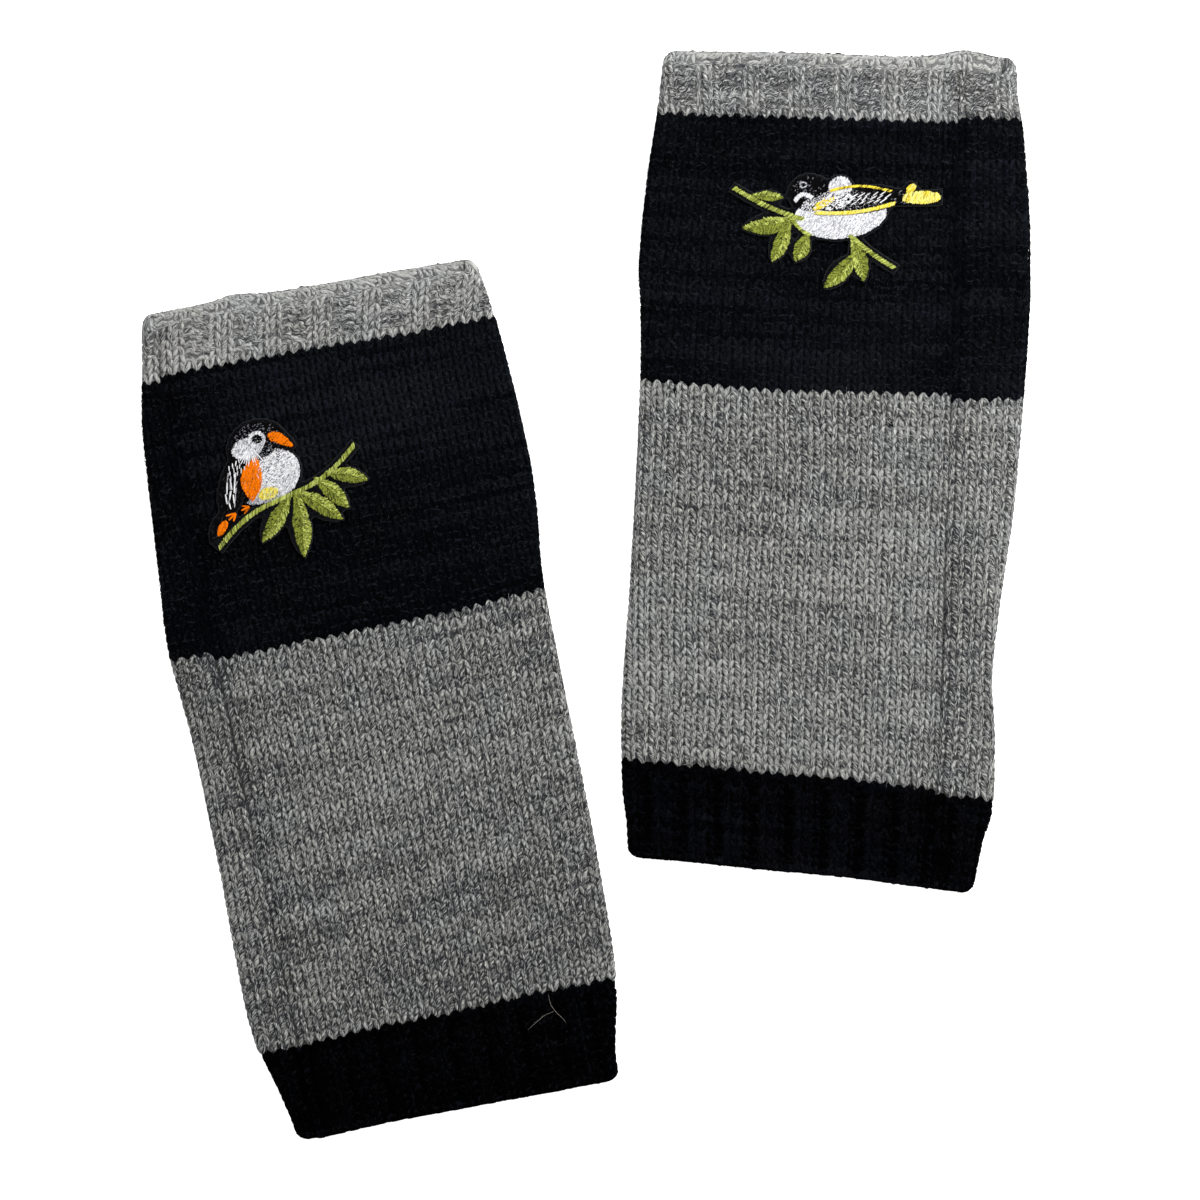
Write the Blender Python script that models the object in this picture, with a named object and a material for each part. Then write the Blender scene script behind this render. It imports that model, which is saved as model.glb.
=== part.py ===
"""A pair of knitted arm warmers, lying flat side by side.

Each arm warmer is one length of knitting that is sewn up into a tube. From the wrist up it has a black
ribbed cuff, a grey body, a black band and a grey ribbed cuff. The tube lies flattened, so its front rests
on its back with a narrow slit between them, and its two sides are folds. The seam runs up the front as a
shallow trough. An embroidered felt patch of a songbird on a leafy twig lies on each black band.

All sizes are in millimetres until a mesh is made. The frame has its origin on the surface that the pair
lies on, under the middle of the pair, with +X across the arms, +Y up the arms and +Z up.
"""

import math
from collections import namedtuple

import bmesh
import bpy
from mathutils import Vector

MM = 0.001

# The knitted tube
WALL = 2.7  # thickness of the knitted fabric
SLIT = 0.9  # what is left open between the front and the back of the tube
THICK = 2 * WALL + SLIT  # height of a tube that lies flat
FOLD = THICK / 2  # radius of a side fold
BAND_GAP = 0.3  # clearance between two bands of one tube
CORNER = 4.5  # rounding of the cuffs' corners, seen from above
FRONT_SHORT = 4.6  # how far the front's upper edge stays below the back's
FRONT_DIP = 1.6  # how much more it stays below, beyond the seam
SEAM_DEPTH = 0.9  # depth of the trough along the seam
SEAM_WIDTH = 1.6  # half of the trough's width
TROUGH_SPOT = 2.1  # from the seam to the points beside its trough
JOG_WIDTH = 1.5  # over which a border steps from one side of the seam to the other
REACH = 70.0  # where the left and right heights of a border are given, from the middle of the arm
FLANK = 0.14  # a rib's sloping side, as a share of the ribs' pitch
FLAT_SHARE = 0.995  # how far out from the arm's middle a rib's points may lie, as a share of the flat front

# The patches, from the knitted surface up
PATCH_GAP = 0.3
FELT = 0.9  # thickness of the felt
THREAD = 0.6  # height of the embroidery
RIM = 1.3  # felt that shows round the embroidery
LEAF_SHIFT = 1.15  # over 1 moves a leaf's widest part towards its tip
LEAF_FULLNESS = 0.85  # under 1 makes a leaf fuller towards its ends
LEAF_END = 0.25  # half width of a leaf's two ends
END_GROWTH = 0.15  # how much of a leaf's growth also widens its ends

# How finely the forms are divided
FOLD_STEPS = 5  # stretches round a side fold
CORNER_STEPS = 3  # rings round a cuff's corner
FRONT_SPOTS = 14  # stretches across the front of a plain band
BACK_SPOTS = 5  # stretches across the back
INNER_SPOTS = 7  # stretches across a wall's inner side
INNER_FOLD_STEPS = 2  # stretches round a wall's inner side at a fold
CROWDED = 1.5  # rings and points nearer than this to finer ones, as a share of their spacing, are left out
OVAL_STEPS = 18  # stretches round an oval
LEAF_STEPS = 7  # stretches along a leaf
STEM_STEPS = 12  # stretches along a stem
SHARP_ANGLE = 50.0  # degrees between faces above which their edge isn't smoothed

# A section of a tube: where its two sides and its seam lie, at a height along the arm
Section = namedtuple("Section", "along left right seam")
# A border between two bands: how far along the arm it lies at -REACH, 0 and REACH, and its step past the seam
Border = namedtuple("Border", "name left middle right jog")
# A soft rise of the front: where its middle is, its half length and half width, and its height
Swell = namedtuple("Swell", "across along length width rise")
# The ribs across a cuff's front: the first one's centre, their pitch, the ridge's share of it, and their rise
Ribs = namedtuple("Ribs", "first pitch ridge rise")
# A rise in the back's upper edge: its middle across the arm, its half width and its height
Hump = namedtuple("Hump", "across width rise")
Band = namedtuple("Band", "name colour rings ribs")

# Shapes of a patch, each with its own sizes in the patch's plane
Oval = namedtuple("Oval", "x y length width turn")
Leaf = namedtuple("Leaf", "base tip width")
# A stem bows to the left of its way and waves to both sides of it, each by a share of its length
Stem = namedtuple("Stem", "start end bow wave width")
# A stitched area of a patch, joined from its shapes and cut back where it goes under the areas it names
Stitching = namedtuple("Stitching", "name thread under shapes")
Patch = namedtuple("Patch", "across along turn stitchings")

Warmer = namedtuple("Warmer", "name place turn sections borders bands swells hump patch")

LEFT = Warmer(
    name="left",
    place=(-79.1, -40.2),
    turn=11.5,
    sections=(
        Section(along=-160, left=-62.6, right=61.4, seam=-57.0),
        Section(along=-148, left=-64.4, right=62.0, seam=-57.0),
        Section(along=-133, left=-68.0, right=65.7, seam=-56.8),
        Section(along=-118, left=-72.1, right=68.4, seam=-56.6),
        Section(along=-95, left=-73.0, right=69.7, seam=-56.8),
        Section(along=-50, left=-72.2, right=70.6, seam=-57.2),
        Section(along=0, left=-72.6, right=70.7, seam=-57.8),
        Section(along=34, left=-74.7, right=71.1, seam=-58.3),
        Section(along=60, left=-72.7, right=74.2, seam=-58.0),
        Section(along=80, left=-71.0, right=75.2, seam=-57.8),
        Section(along=118, left=-67.6, right=74.1, seam=-57.6),
        Section(along=141, left=-63.1, right=72.2, seam=-56.5),
        Section(along=162, left=-59.0, right=69.0, seam=-53.6),
    ),
    borders=(
        Border("lower_edge", left=-158.9, middle=-158.6, right=-159.5, jog=0.8),
        Border("lower_cuff_top", left=-122.8, middle=-121.6, right=-121.2, jog=-0.3),
        Border("body_top", left=27.6, middle=27.2, right=28.9, jog=3.0),
        Border("black_band_top", left=136.8, middle=135.5, right=133.6, jog=-1.2),
        Border("upper_edge", left=161.3, middle=160.0, right=157.4, jog=0.0),
    ),
    bands=(
        Band("lower_cuff", "black", rings=3, ribs=Ribs(first=-58.5, pitch=14.3, ridge=0.62, rise=1.0)),
        Band("grey_body", "grey", rings=11, ribs=None),
        Band("black_band", "black", rings=8, ribs=None),
        Band("upper_cuff", "grey", rings=3, ribs=Ribs(first=-47.8, pitch=19.2, ridge=0.44, rise=1.3)),
    ),
    swells=(
        Swell(across=-65, along=0, length=110, width=7, rise=0.6),
        Swell(across=64, along=10, length=120, width=8, rise=0.6),
        Swell(across=-50, along=-40, length=90, width=5, rise=0.5),
        Swell(across=8, along=-62, length=45, width=24, rise=0.6),
        Swell(across=40, along=-5, length=26, width=16, rise=0.4),
    ),
    hump=Hump(across=-23.0, width=7.0, rise=1.4),
    patch=Patch(
        across=-16.1,
        along=85.7,
        turn=-11.5,
        stitchings=(
            Stitching(
                name="bird",
                thread="bird",
                under=("spray",),
                shapes=(
                    Oval(x=-7.4, y=4.6, length=23.0, width=19.5, turn=33),
                    Oval(x=-12.2, y=14.6, length=23.0, width=21.0, turn=20),
                    Oval(x=-22.0, y=0.4, length=24.0, width=9.0, turn=78),
                    Leaf(base=(-20.5, -6.0), tip=(-30.4, -20.6), width=5.6),
                    Leaf(base=(-9.0, 20.6), tip=(1.4, 15.4), width=4.4),
                ),
            ),
            Stitching(
                name="spray",
                thread="leaf",
                under=(),
                shapes=(
                    Stem(start=(-27.0, -23.0), end=(24.0, 16.0), bow=0.0, wave=0.04, width=2.4),
                    Leaf(base=(-0.2, -2.4), tip=(-10.8, -20.8), width=6.0),
                    Leaf(base=(1.8, -1.2), tip=(5.2, -26.4), width=6.8),
                    Leaf(base=(1.4, -1.4), tip=(19.8, -12.2), width=6.4),
                    Leaf(base=(9.2, 3.6), tip=(22.0, -7.8), width=6.0),
                    Leaf(base=(13.0, 5.6), tip=(29.2, 3.0), width=5.4),
                ),
            ),
        ),
    ),
)

RIGHT = Warmer(
    name="right",
    place=(91.2, 47.2),
    turn=-3.5,
    sections=(
        Section(along=-157, left=-66.0, right=65.4, seam=49.6),
        Section(along=-141, left=-67.3, right=68.0, seam=49.6),
        Section(along=-125, left=-70.1, right=71.3, seam=49.5),
        Section(along=-95, left=-72.4, right=70.3, seam=49.0),
        Section(along=-76, left=-72.4, right=68.2, seam=48.6),
        Section(along=-50, left=-72.1, right=69.2, seam=48.0),
        Section(along=-11, left=-72.2, right=72.4, seam=47.0),
        Section(along=34, left=-73.0, right=73.7, seam=45.4),
        Section(along=57, left=-74.5, right=73.9, seam=44.8),
        Section(along=72, left=-76.0, right=73.7, seam=44.3),
        Section(along=103, left=-75.2, right=71.4, seam=43.2),
        Section(along=133, left=-72.6, right=67.3, seam=42.2),
        Section(along=148, left=-71.6, right=64.2, seam=41.8),
        Section(along=162, left=-70.6, right=62.8, seam=41.6),
    ),
    borders=(
        Border("lower_edge", left=-151.3, middle=-153.5, right=-157.6, jog=0.0),
        Border("lower_cuff_top", left=-114.7, middle=-116.4, right=-119.2, jog=-1.9),
        Border("body_top", left=29.9, middle=29.2, right=33.6, jog=-2.6),
        Border("black_band_top", left=131.8, middle=133.3, right=135.9, jog=1.8),
        Border("upper_edge", left=155.6, middle=158.7, right=161.2, jog=0.0),
    ),
    bands=(
        Band("lower_cuff", "black", rings=3, ribs=Ribs(first=-63.4, pitch=13.3, ridge=0.62, rise=1.0)),
        Band("grey_body", "grey", rings=11, ribs=None),
        Band("black_band", "black", rings=8, ribs=None),
        Band("upper_cuff", "grey", rings=3, ribs=Ribs(first=-54.4, pitch=17.6, ridge=0.48, rise=1.3)),
    ),
    swells=(
        Swell(across=-66, along=10, length=115, width=8, rise=0.6),
        Swell(across=63, along=5, length=115, width=7, rise=0.6),
        Swell(across=55, along=-30, length=100, width=4, rise=0.5),
        Swell(across=-12, along=-66, length=42, width=26, rise=0.6),
        Swell(across=-44, along=0, length=30, width=14, rise=0.4),
    ),
    hump=Hump(across=44.0, width=5.0, rise=1.5),
    patch=Patch(
        across=-1.2,
        along=90.4,
        turn=3.5,
        stitchings=(
            Stitching(
                name="bird",
                thread="bird",
                under=(),
                shapes=(
                    Oval(x=1.0, y=6.6, length=35.0, width=18.6, turn=5),
                    Oval(x=-10.6, y=14.4, length=15.6, width=13.6, turn=0),
                    Oval(x=0.8, y=16.6, length=9.0, width=8.4, turn=0),
                    Leaf(base=(-10.0, 9.0), tip=(27.0, 14.0), width=9.6),
                    Stem(start=(18.0, 12.5), end=(38.5, 13.0), bow=0.0, wave=0.0, width=4.4),
                    Oval(x=27.7, y=16.2, length=4.0, width=4.0, turn=0),
                ),
            ),
            Stitching(
                name="twig",
                thread="leaf",
                under=("bird",),
                shapes=(
                    Stem(start=(-39.5, 16.5), end=(-13.0, 4.5), bow=-0.04, wave=0.0, width=2.4),
                    Stem(start=(-17.5, 5.0), end=(-10.5, -1.5), bow=-0.08, wave=0.0, width=2.0),
                    Leaf(base=(-33.0, 13.4), tip=(-21.0, 12.8), width=3.2),
                    Leaf(base=(-14.8, 4.6), tip=(-36.2, 1.4), width=6.2),
                    Leaf(base=(-18.4, 4.4), tip=(-25.0, -11.4), width=5.4),
                    Leaf(base=(-11.4, -0.8), tip=(-16.2, -11.2), width=5.8),
                ),
            ),
            Stitching(
                name="lower_twig",
                thread="leaf",
                under=("bird",),
                shapes=(
                    Stem(start=(4.5, -1.5), end=(21.5, -14.0), bow=-0.03, wave=0.0, width=2.4),
                    Leaf(base=(5.4, -2.4), tip=(9.8, -18.8), width=5.8),
                    Leaf(base=(7.4, -8.0), tip=(-5.2, -21.4), width=6.2),
                ),
            ),
        ),
    ),
)

# Linear colour and roughness of each material
FINISHES = {
    "grey": ("grey_knit", (0.19, 0.19, 0.185), 0.95),
    "black": ("black_knit", (0.008, 0.009, 0.012), 0.95),
    "felt": ("black_felt", (0.006, 0.006, 0.007), 0.95),
    "bird": ("bird_thread", (0.62, 0.62, 0.62), 0.45),
    "leaf": ("leaf_thread", (0.30, 0.34, 0.06), 0.5),
}


def curve_through(knots, x):
    """Value at x of a smooth curve through (x, y) knots, held at its end values beyond them."""
    last = len(knots) - 1
    x = min(max(x, knots[0][0]), knots[last][0])
    i = max(k for k in range(last) if knots[k][0] <= x)

    def slope(k):
        before, after = knots[max(k - 1, 0)], knots[min(k + 1, last)]
        return (after[1] - before[1]) / (after[0] - before[0])

    (x0, y0), (x1, y1) = knots[i], knots[i + 1]
    span = x1 - x0
    f = (x - x0) / span
    values = y0 * (1 + 2 * f) * (1 - f) ** 2 + y1 * f * f * (3 - 2 * f)
    return values + span * (slope(i) * f * (1 - f) ** 2 - slope(i + 1) * f * f * (1 - f))


def soft_step(x):
    """0 below -1, 1 above 1, and a smooth rise between them."""
    f = min(max((x + 1) / 2, 0), 1)
    return f * f * (3 - 2 * f)


def bell(x):
    """1 at 0, with a smooth fall to both sides."""
    return math.exp(-(x**2))


def mix(a, b, share):
    """The value that lies that share of the way from a to b."""
    return a + (b - a) * share


class Tube:
    """One arm warmer's tube, in its own frame: X across the arm and Y along it.

    A place round the tube is a number from 0 to 4: 0 to 1 crosses the front from left to right, 1 to 2
    goes down the right fold, 2 to 3 crosses the back from right to left, and 3 to 4 climbs the left fold.
    """

    def __init__(self, warmer):
        self.warmer = warmer
        self.near = math.copysign(1, warmer.sections[0].seam)  # the side that the seam lies towards
        self.seam_share = self.seam_place()

    def side(self, name, along):
        """How far across the arm a side or the seam lies, at a height along the arm."""
        return curve_through([(row.along, getattr(row, name)) for row in self.warmer.sections], along)

    def seam_place(self):
        """The seam's usual place across the front, from -1 to 1."""
        left, right, seam = (self.side(name, 0) for name in ("left", "right", "seam"))
        return (2 * seam - left - right) / (right - left - 2 * FOLD)

    def jog_share(self, place, across, along):
        """How much of a border's step past the seam is felt at a place round the tube."""
        face, share = divmod(place, 1)
        if face == 0:
            return soft_step(self.near * (across - self.side("seam", along)) / JOG_WIDTH)
        if face == 2:
            return 1 - share if self.near > 0 else share
        return 1 if (face == 1) == (self.near > 0) else 0

    def border(self, number, place, across):
        """How far along the arm a border lies, at a place round the tube and across the arm."""
        row = self.warmer.borders[number]
        reach = across / REACH
        bow = (row.left + row.right) / 2 - row.middle
        along = row.middle + (row.right - row.left) / 2 * reach + bow * reach**2
        along += row.jog * self.jog_share(place, across, along)
        if row.name == "upper_edge":
            hump = self.warmer.hump
            facing = max(0.0, math.sin(math.radians(turn_at(place))))
            past = soft_step(self.near * (across - self.side("seam", along)) / CORNER)
            along += hump.rise * bell((across - hump.across) / hump.width) * (1 - facing)
            along -= (FRONT_SHORT + FRONT_DIP * past) * facing
        return along

    def across(self, u, left, right, seam):
        """How far across the arm a share u of the front, from -1 to 1, lies, with the seam at its share."""
        if u < self.seam_share:
            return mix(left, seam, (u + 1) / (self.seam_share + 1))
        return mix(seam, right, (u - self.seam_share) / (1 - self.seam_share))

    def share_of(self, across, along):
        """The share u of the front, from -1 to 1, that lies at a place across the arm."""
        left, right = self.side("left", along) + FOLD, self.side("right", along) - FOLD
        seam = self.side("seam", along)
        if across < seam:
            return -1 + (across - left) / (seam - left) * (self.seam_share + 1)
        return self.seam_share + (across - seam) / (right - seam) * (1 - self.seam_share)

    def swell(self, across, along):
        """How much the front rises above a flat one."""
        return sum(
            row.rise
            * bell((across - row.across) / row.width)
            * soft_step(2 * (row.length - abs(along - row.along)) / row.length)
            for row in self.warmer.swells
        )

    def point(self, number, place, level, inner=False, rise=0.0):
        """A point of a band's outer or inner side.

        number is the band's, place goes round the tube, level goes up the band from 0 to 1, and rise lifts
        the point above the plain front.
        """
        lower, upper = number, number + 1
        ends = {}
        for name, where in (("left", 3.5), ("right", 1.5)):
            reach = math.copysign(REACH, where == 1.5 or -1)
            low = self.border(lower, where, reach) + BAND_GAP / 2
            high = self.border(upper, where, reach) - BAND_GAP / 2
            ends[name] = (self.side(name, mix(low, high, level)), high - low)
        height = ends["left"][1]
        from_end = height
        if number == 0:
            from_end = level * height
        elif upper == len(self.warmer.borders) - 1:
            from_end = (1 - level) * height
        cut = max(0.0, CORNER - from_end)
        inset = CORNER - math.sqrt(CORNER**2 - cut**2)
        left = ends["left"][0] + inset + FOLD
        right = ends["right"][0] - inset - FOLD
        middle = mix(self.border(lower, 0.5, 0), self.border(upper, 0.5, 0), level)
        seam = self.side("seam", middle)

        u, turn = share_at(place), math.radians(turn_at(place))
        radius = SLIT / 2 if inner else FOLD
        across = self.across(u, left, right, seam) + radius * math.cos(turn)
        low = self.border(lower, place, across) + BAND_GAP / 2
        high = self.border(upper, place, across) - BAND_GAP / 2
        along = mix(low, high, level)
        up = FOLD + radius * math.sin(turn)
        if place <= 1:
            up += self.swell(across, along)
            if not inner:
                up += rise - SEAM_DEPTH * bell((across - seam) / SEAM_WIDTH)
        return Vector((across, along, up)) * MM


def share_at(place):
    """The share across the arm, from -1 to 1, of a place round the tube."""
    face, share = divmod(place, 1)
    return (2 * share - 1, 1.0, 1 - 2 * share, -1.0)[int(face) % 4]


def turn_at(place):
    """Which way the surface faces at a place round the tube, in degrees: 90 is up and -90 is down."""
    face, share = divmod(place, 1)
    return (90.0, 90 - 180 * share, -90.0, -90 - 180 * share)[int(face) % 4]


def flat_places(front, back, fold):
    """Places round a tube, with that many stretches across its front, across its back and round a fold."""
    places = [i / front for i in range(front + 1)]
    places += [1 + i / fold for i in range(1, fold)]
    places += [2 + i / back for i in range(back + 1)]
    places += [3 + i / fold for i in range(1, fold)]
    return places


def with_trough(tube, places):
    """The places, with three more at the seam in place of the ones near it."""
    step = TROUGH_SPOT / (tube.side("right", 0) - tube.side("left", 0) - 2 * FOLD)
    middle = (tube.seam_share + 1) / 2
    kept = [place for place in places if place > 1 or abs(place - middle) > (1 + CROWDED / 2) * step]
    return sorted(kept + [middle - step, middle, middle + step])


def rib_places(tube, ribs, along):
    """Places across a ribbed front, four at each rib's ridge, with how far each is raised."""
    half, flank = ribs.pitch * ribs.ridge / 2, ribs.pitch * FLANK
    centre = ribs.first - ribs.pitch
    while centre < tube.side("right", along):
        for offset, raised in ((-half - flank, -0.5), (-half, 0.5), (half, 0.5), (half + flank, -0.5)):
            share = tube.share_of(centre + offset, along)
            if abs(share) < FLAT_SHARE:
                yield (share + 1) / 2, raised * ribs.rise
        centre += ribs.pitch


def outer_places(tube, band, along):
    """Places round a band's outer side, with how far each is raised."""
    raised = dict(rib_places(tube, band.ribs, along)) if band.ribs else {}
    plain = flat_places(1 if band.ribs else FRONT_SPOTS, BACK_SPOTS, FOLD_STEPS)
    return [(place, raised.get(place, 0.0)) for place in with_trough(tube, plain + list(raised))]


def inner_places(tube):
    """Places round a band's plain inner side."""
    plain = flat_places(INNER_SPOTS, INNER_SPOTS, INNER_FOLD_STEPS)
    return [(place, 0.0) for place in with_trough(tube, plain)]


def levels(tube, number, band):
    """Levels of a band's rings, from 0 to 1, with closer ones round a cuff's corners."""
    even = [i / band.rings for i in range(band.rings + 1)]
    height = tube.border(number + 1, 1.5, REACH) - tube.border(number, 1.5, REACH) - BAND_GAP
    angles = [math.pi / 2 * i / CORNER_STEPS for i in range(CORNER_STEPS + 1)]
    corner = [CORNER * (1 - math.cos(angle)) / height for angle in angles]
    if number == 0:
        return corner + [level for level in even if level > CROWDED * corner[-1]]
    if number == len(tube.warmer.bands) - 1:
        upper = [1 - level for level in reversed(corner)]
        return [level for level in even if level < 1 - CROWDED * corner[-1]] + upper
    return even


def skin_rings(mesh, rings, outward):
    """Faces between each ring of vertices and the next."""
    for low, high in zip(rings, rings[1:]):
        for i in range(len(low)):
            j = (i + 1) % len(low)
            quad = (low[i], low[j], high[j], high[i])
            mesh.faces.new(quad if outward else tuple(reversed(quad)))


def skin_end(mesh, outer, inner, upward):
    """Triangles between an outer and an inner ring of (place, vertex) pairs that close a wall's end."""
    i = j = 0
    while i < len(outer) or j < len(inner):
        a, b = outer[i % len(outer)][1], inner[j % len(inner)][1]
        next_outer = outer[i + 1][0] if i + 1 < len(outer) else 4.0
        next_inner = inner[j + 1][0] if j + 1 < len(inner) else 4.0
        if j >= len(inner) or (i < len(outer) and next_outer <= next_inner):
            i += 1
            corner = outer[i % len(outer)][1]
        else:
            j += 1
            corner = inner[j % len(inner)][1]
        mesh.faces.new((a, corner, b) if upward else (b, corner, a))


def band_mesh(tube, number, band):
    """The closed wall of one band of a tube, open from end to end along the arm."""
    row = tube.warmer.borders
    along = (row[number].middle + row[number + 1].middle) / 2
    outside, inside = outer_places(tube, band, along), inner_places(tube)
    mesh = bmesh.new()
    heights = levels(tube, number, band)
    outer = [[mesh.verts.new(tube.point(number, p, v, rise=r)) for p, r in outside] for v in heights]
    inner = [[mesh.verts.new(tube.point(number, p, v, inner=True)) for p, _ in inside] for v in heights]
    skin_rings(mesh, outer, outward=True)
    skin_rings(mesh, inner, outward=False)
    for ring, upward in ((0, False), (-1, True)):
        around = [(place[0], vertex) for place, vertex in zip(outside, outer[ring])]
        within = [(place[0], vertex) for place, vertex in zip(inside, inner[ring])]
        skin_end(mesh, around, within, upward)
    return mesh


def oval_outline(oval, grow):
    """Points round an oval that is grown on all sides."""
    a, b = oval.length / 2 + grow, oval.width / 2 + grow
    along = Vector((math.cos(math.radians(oval.turn)), math.sin(math.radians(oval.turn))))
    side = Vector((-along.y, along.x))
    for i in range(OVAL_STEPS):
        angle = math.tau * i / OVAL_STEPS
        yield tuple(Vector((oval.x, oval.y)) + along * a * math.cos(angle) + side * b * math.sin(angle))


def leaf_outline(leaf, grow):
    """Points round a pointed leaf that is grown on all sides, widest a little past its middle."""
    base, tip = Vector(leaf.base), Vector(leaf.tip)
    way = (tip - base).normalized()
    side = Vector((-way.y, way.x))
    base, tip = base - way * grow, tip + way * grow
    for sign in (-1, 1):
        for i in range(LEAF_STEPS):
            f = i / LEAF_STEPS if sign < 0 else 1 - i / LEAF_STEPS
            fullness = math.sin(math.pi * f**LEAF_SHIFT) ** LEAF_FULLNESS
            half = (leaf.width / 2 + grow * (1 - END_GROWTH)) * fullness + LEAF_END + grow * END_GROWTH
            yield tuple(mix(base, tip, f) + side * sign * half)


def stem_outline(stem, grow):
    """Points round a stem of even width that bows and waves between its two ends."""
    start, end = Vector(stem.start), Vector(stem.end)
    run = end - start
    left = Vector((-run.y, run.x))
    line = []
    for i in range(STEM_STEPS + 1):
        f = i / STEM_STEPS
        swing = stem.bow * math.sin(math.pi * f) + stem.wave * math.sin(math.tau * f)
        line.append(start + run * f + left * swing)
    half = stem.width / 2 + grow
    ways = [
        (line[min(i + 1, STEM_STEPS)] - line[max(i - 1, 0)]).normalized() for i in range(STEM_STEPS + 1)
    ]
    line[0] -= ways[0] * grow
    line[-1] += ways[-1] * grow
    for sign in (-1, 1):
        order = range(STEM_STEPS + 1) if sign < 0 else range(STEM_STEPS, -1, -1)
        for i in order:
            yield tuple(line[i] + Vector((-ways[i].y, ways[i].x)) * sign * half)


OUTLINES = {"Oval": oval_outline, "Leaf": leaf_outline, "Stem": stem_outline}


def slab(name, shape, grow, low, high, collection):
    """A flat-sided piece with a shape's outline, between two heights."""
    mesh = bmesh.new()
    ring = [mesh.verts.new(Vector((x, y, low)) * MM) for x, y in OUTLINES[type(shape).__name__](shape, grow)]
    bottom = mesh.faces.new(ring)
    risen = bmesh.ops.extrude_face_region(mesh, geom=[bottom])["geom"]
    for vertex in (item for item in risen if isinstance(item, bmesh.types.BMVert)):
        vertex.co.z = high * MM
    bmesh.ops.recalc_face_normals(mesh, faces=mesh.faces)
    return mesh_object(name, mesh, collection)


def mesh_object(name, mesh, collection):
    """A named object from a bmesh, which is freed."""
    data = bpy.data.meshes.new(name)
    mesh.to_mesh(data)
    mesh.free()
    thing = bpy.data.objects.new(name, data)
    collection.objects.link(thing)
    return thing


def material(key):
    """The material of a kind of piece, made once."""
    name, colour, roughness = FINISHES[key]
    made = bpy.data.materials.get(name)
    if made is None:
        made = bpy.data.materials.new(name)
        made.use_nodes = True
        shader = made.node_tree.nodes["Principled BSDF"]
        shader.inputs["Base Color"].default_value = (*colour, 1.0)
        shader.inputs["Roughness"].default_value = roughness
        shader.inputs["Metallic"].default_value = 0.0
    return made


def slabs(name, shapes, grow, low, high, cutters):
    """A hidden collection of slabs, one for each shape, for a Boolean modifier."""
    group = bpy.data.collections.new(name)
    cutters.children.link(group)
    for number, shape in enumerate(shapes):
        thing = slab(f"{name}_{number}", shape, grow, low, high, group)
        thing.hide_render = True
        thing.display_type = "WIRE"
    return group


def add_boolean(thing, operation, group):
    """Join or cut a piece with every slab of a collection."""
    boolean = thing.modifiers.new(operation.lower(), "BOOLEAN")
    boolean.operation = operation
    boolean.operand_type = "COLLECTION"
    boolean.collection = group
    boolean.solver = "EXACT"
    return boolean


def build_patch(warmer, holder, pieces, cutters):
    """The felt and the stitched areas of one patch, from the knitted surface up."""
    patch = warmer.patch
    areas = {area.name: area for area in patch.stitchings}
    everything = [shape for area in patch.stitchings for shape in area.shapes]
    felt_low = THICK + PATCH_GAP
    thread_low = felt_low + FELT + PATCH_GAP
    layers = [("felt", "felt", everything, RIM, felt_low, felt_low + FELT)]
    layers += [(a.name, a.thread, a.shapes, 0.0, thread_low, thread_low + THREAD) for a in patch.stitchings]
    for layer, finish, shapes, grow, low, high in layers:
        name = f"{warmer.name}_patch_{layer}"
        piece = slab(name, shapes[0], grow, low, high, pieces)
        parts = [piece]
        joined = slabs(f"{name}_shapes", shapes[1:], grow, low, high, cutters)
        add_boolean(piece, "UNION", joined)
        parts += joined.objects
        for above in areas[layer].under if layer in areas else ():
            room = slabs(f"{name}_room", areas[above].shapes, PATCH_GAP, low - 1, high + 1, cutters)
            add_boolean(piece, "DIFFERENCE", room)
            parts += room.objects
        piece.data.materials.append(material(finish))
        for part in parts:
            part.parent = holder
            part.location = (patch.across * MM, patch.along * MM, 0)
            part.rotation_euler.z = math.radians(patch.turn)


def build_warmer(warmer, pieces, cutters):
    """One arm warmer: its four bands and its patch, under an empty that places it."""
    holder = bpy.data.objects.new(f"{warmer.name}_place", None)
    pieces.objects.link(holder)
    holder.location = (warmer.place[0] * MM, warmer.place[1] * MM, 0)
    holder.rotation_euler.z = math.radians(warmer.turn)
    tube = Tube(warmer)
    for number, band in enumerate(warmer.bands):
        piece = mesh_object(f"{warmer.name}_{band.name}", band_mesh(tube, number, band), pieces)
        piece.data.materials.append(material(band.colour))
        piece.data.shade_smooth()
        piece.data.set_sharp_from_angle(angle=math.radians(SHARP_ANGLE))
        piece.parent = holder
    build_patch(warmer, holder, pieces, cutters)


def main():
    for thing in list(bpy.data.objects):
        bpy.data.objects.remove(thing)
    pieces = bpy.data.collections.new("knitted_arm_warmers")
    cutters = bpy.data.collections.new("cutters")
    for collection in (pieces, cutters):
        bpy.context.scene.collection.children.link(collection)
    for warmer in (LEFT, RIGHT):
        build_warmer(warmer, pieces, cutters)


main()
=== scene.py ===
"""Looks of a pair of knitted arm warmers that lie flat, side by side.

Each arm warmer is a tube of four knitted bands. Its stitches are lengths of yarn that are laid over a thin
cloth, course by course, in the way that the tube is knitted: from the upper cuff down, so a plain stitch
stands like a roof, with its point upwards. A felt patch with an embroidered songbird lies on each black
band. Each bird, leaf and twig is made of ovals, plumes, blades, stems, fans and bars, which are formulas on a
few sizes.

Sizes are in millimetres in an arm warmer's own plane, X across the arm and Y along it, until a mesh is
made.
"""

import logging
import math
from collections.abc import Sequence
from dataclasses import dataclass, field, replace
from enum import Enum

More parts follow.
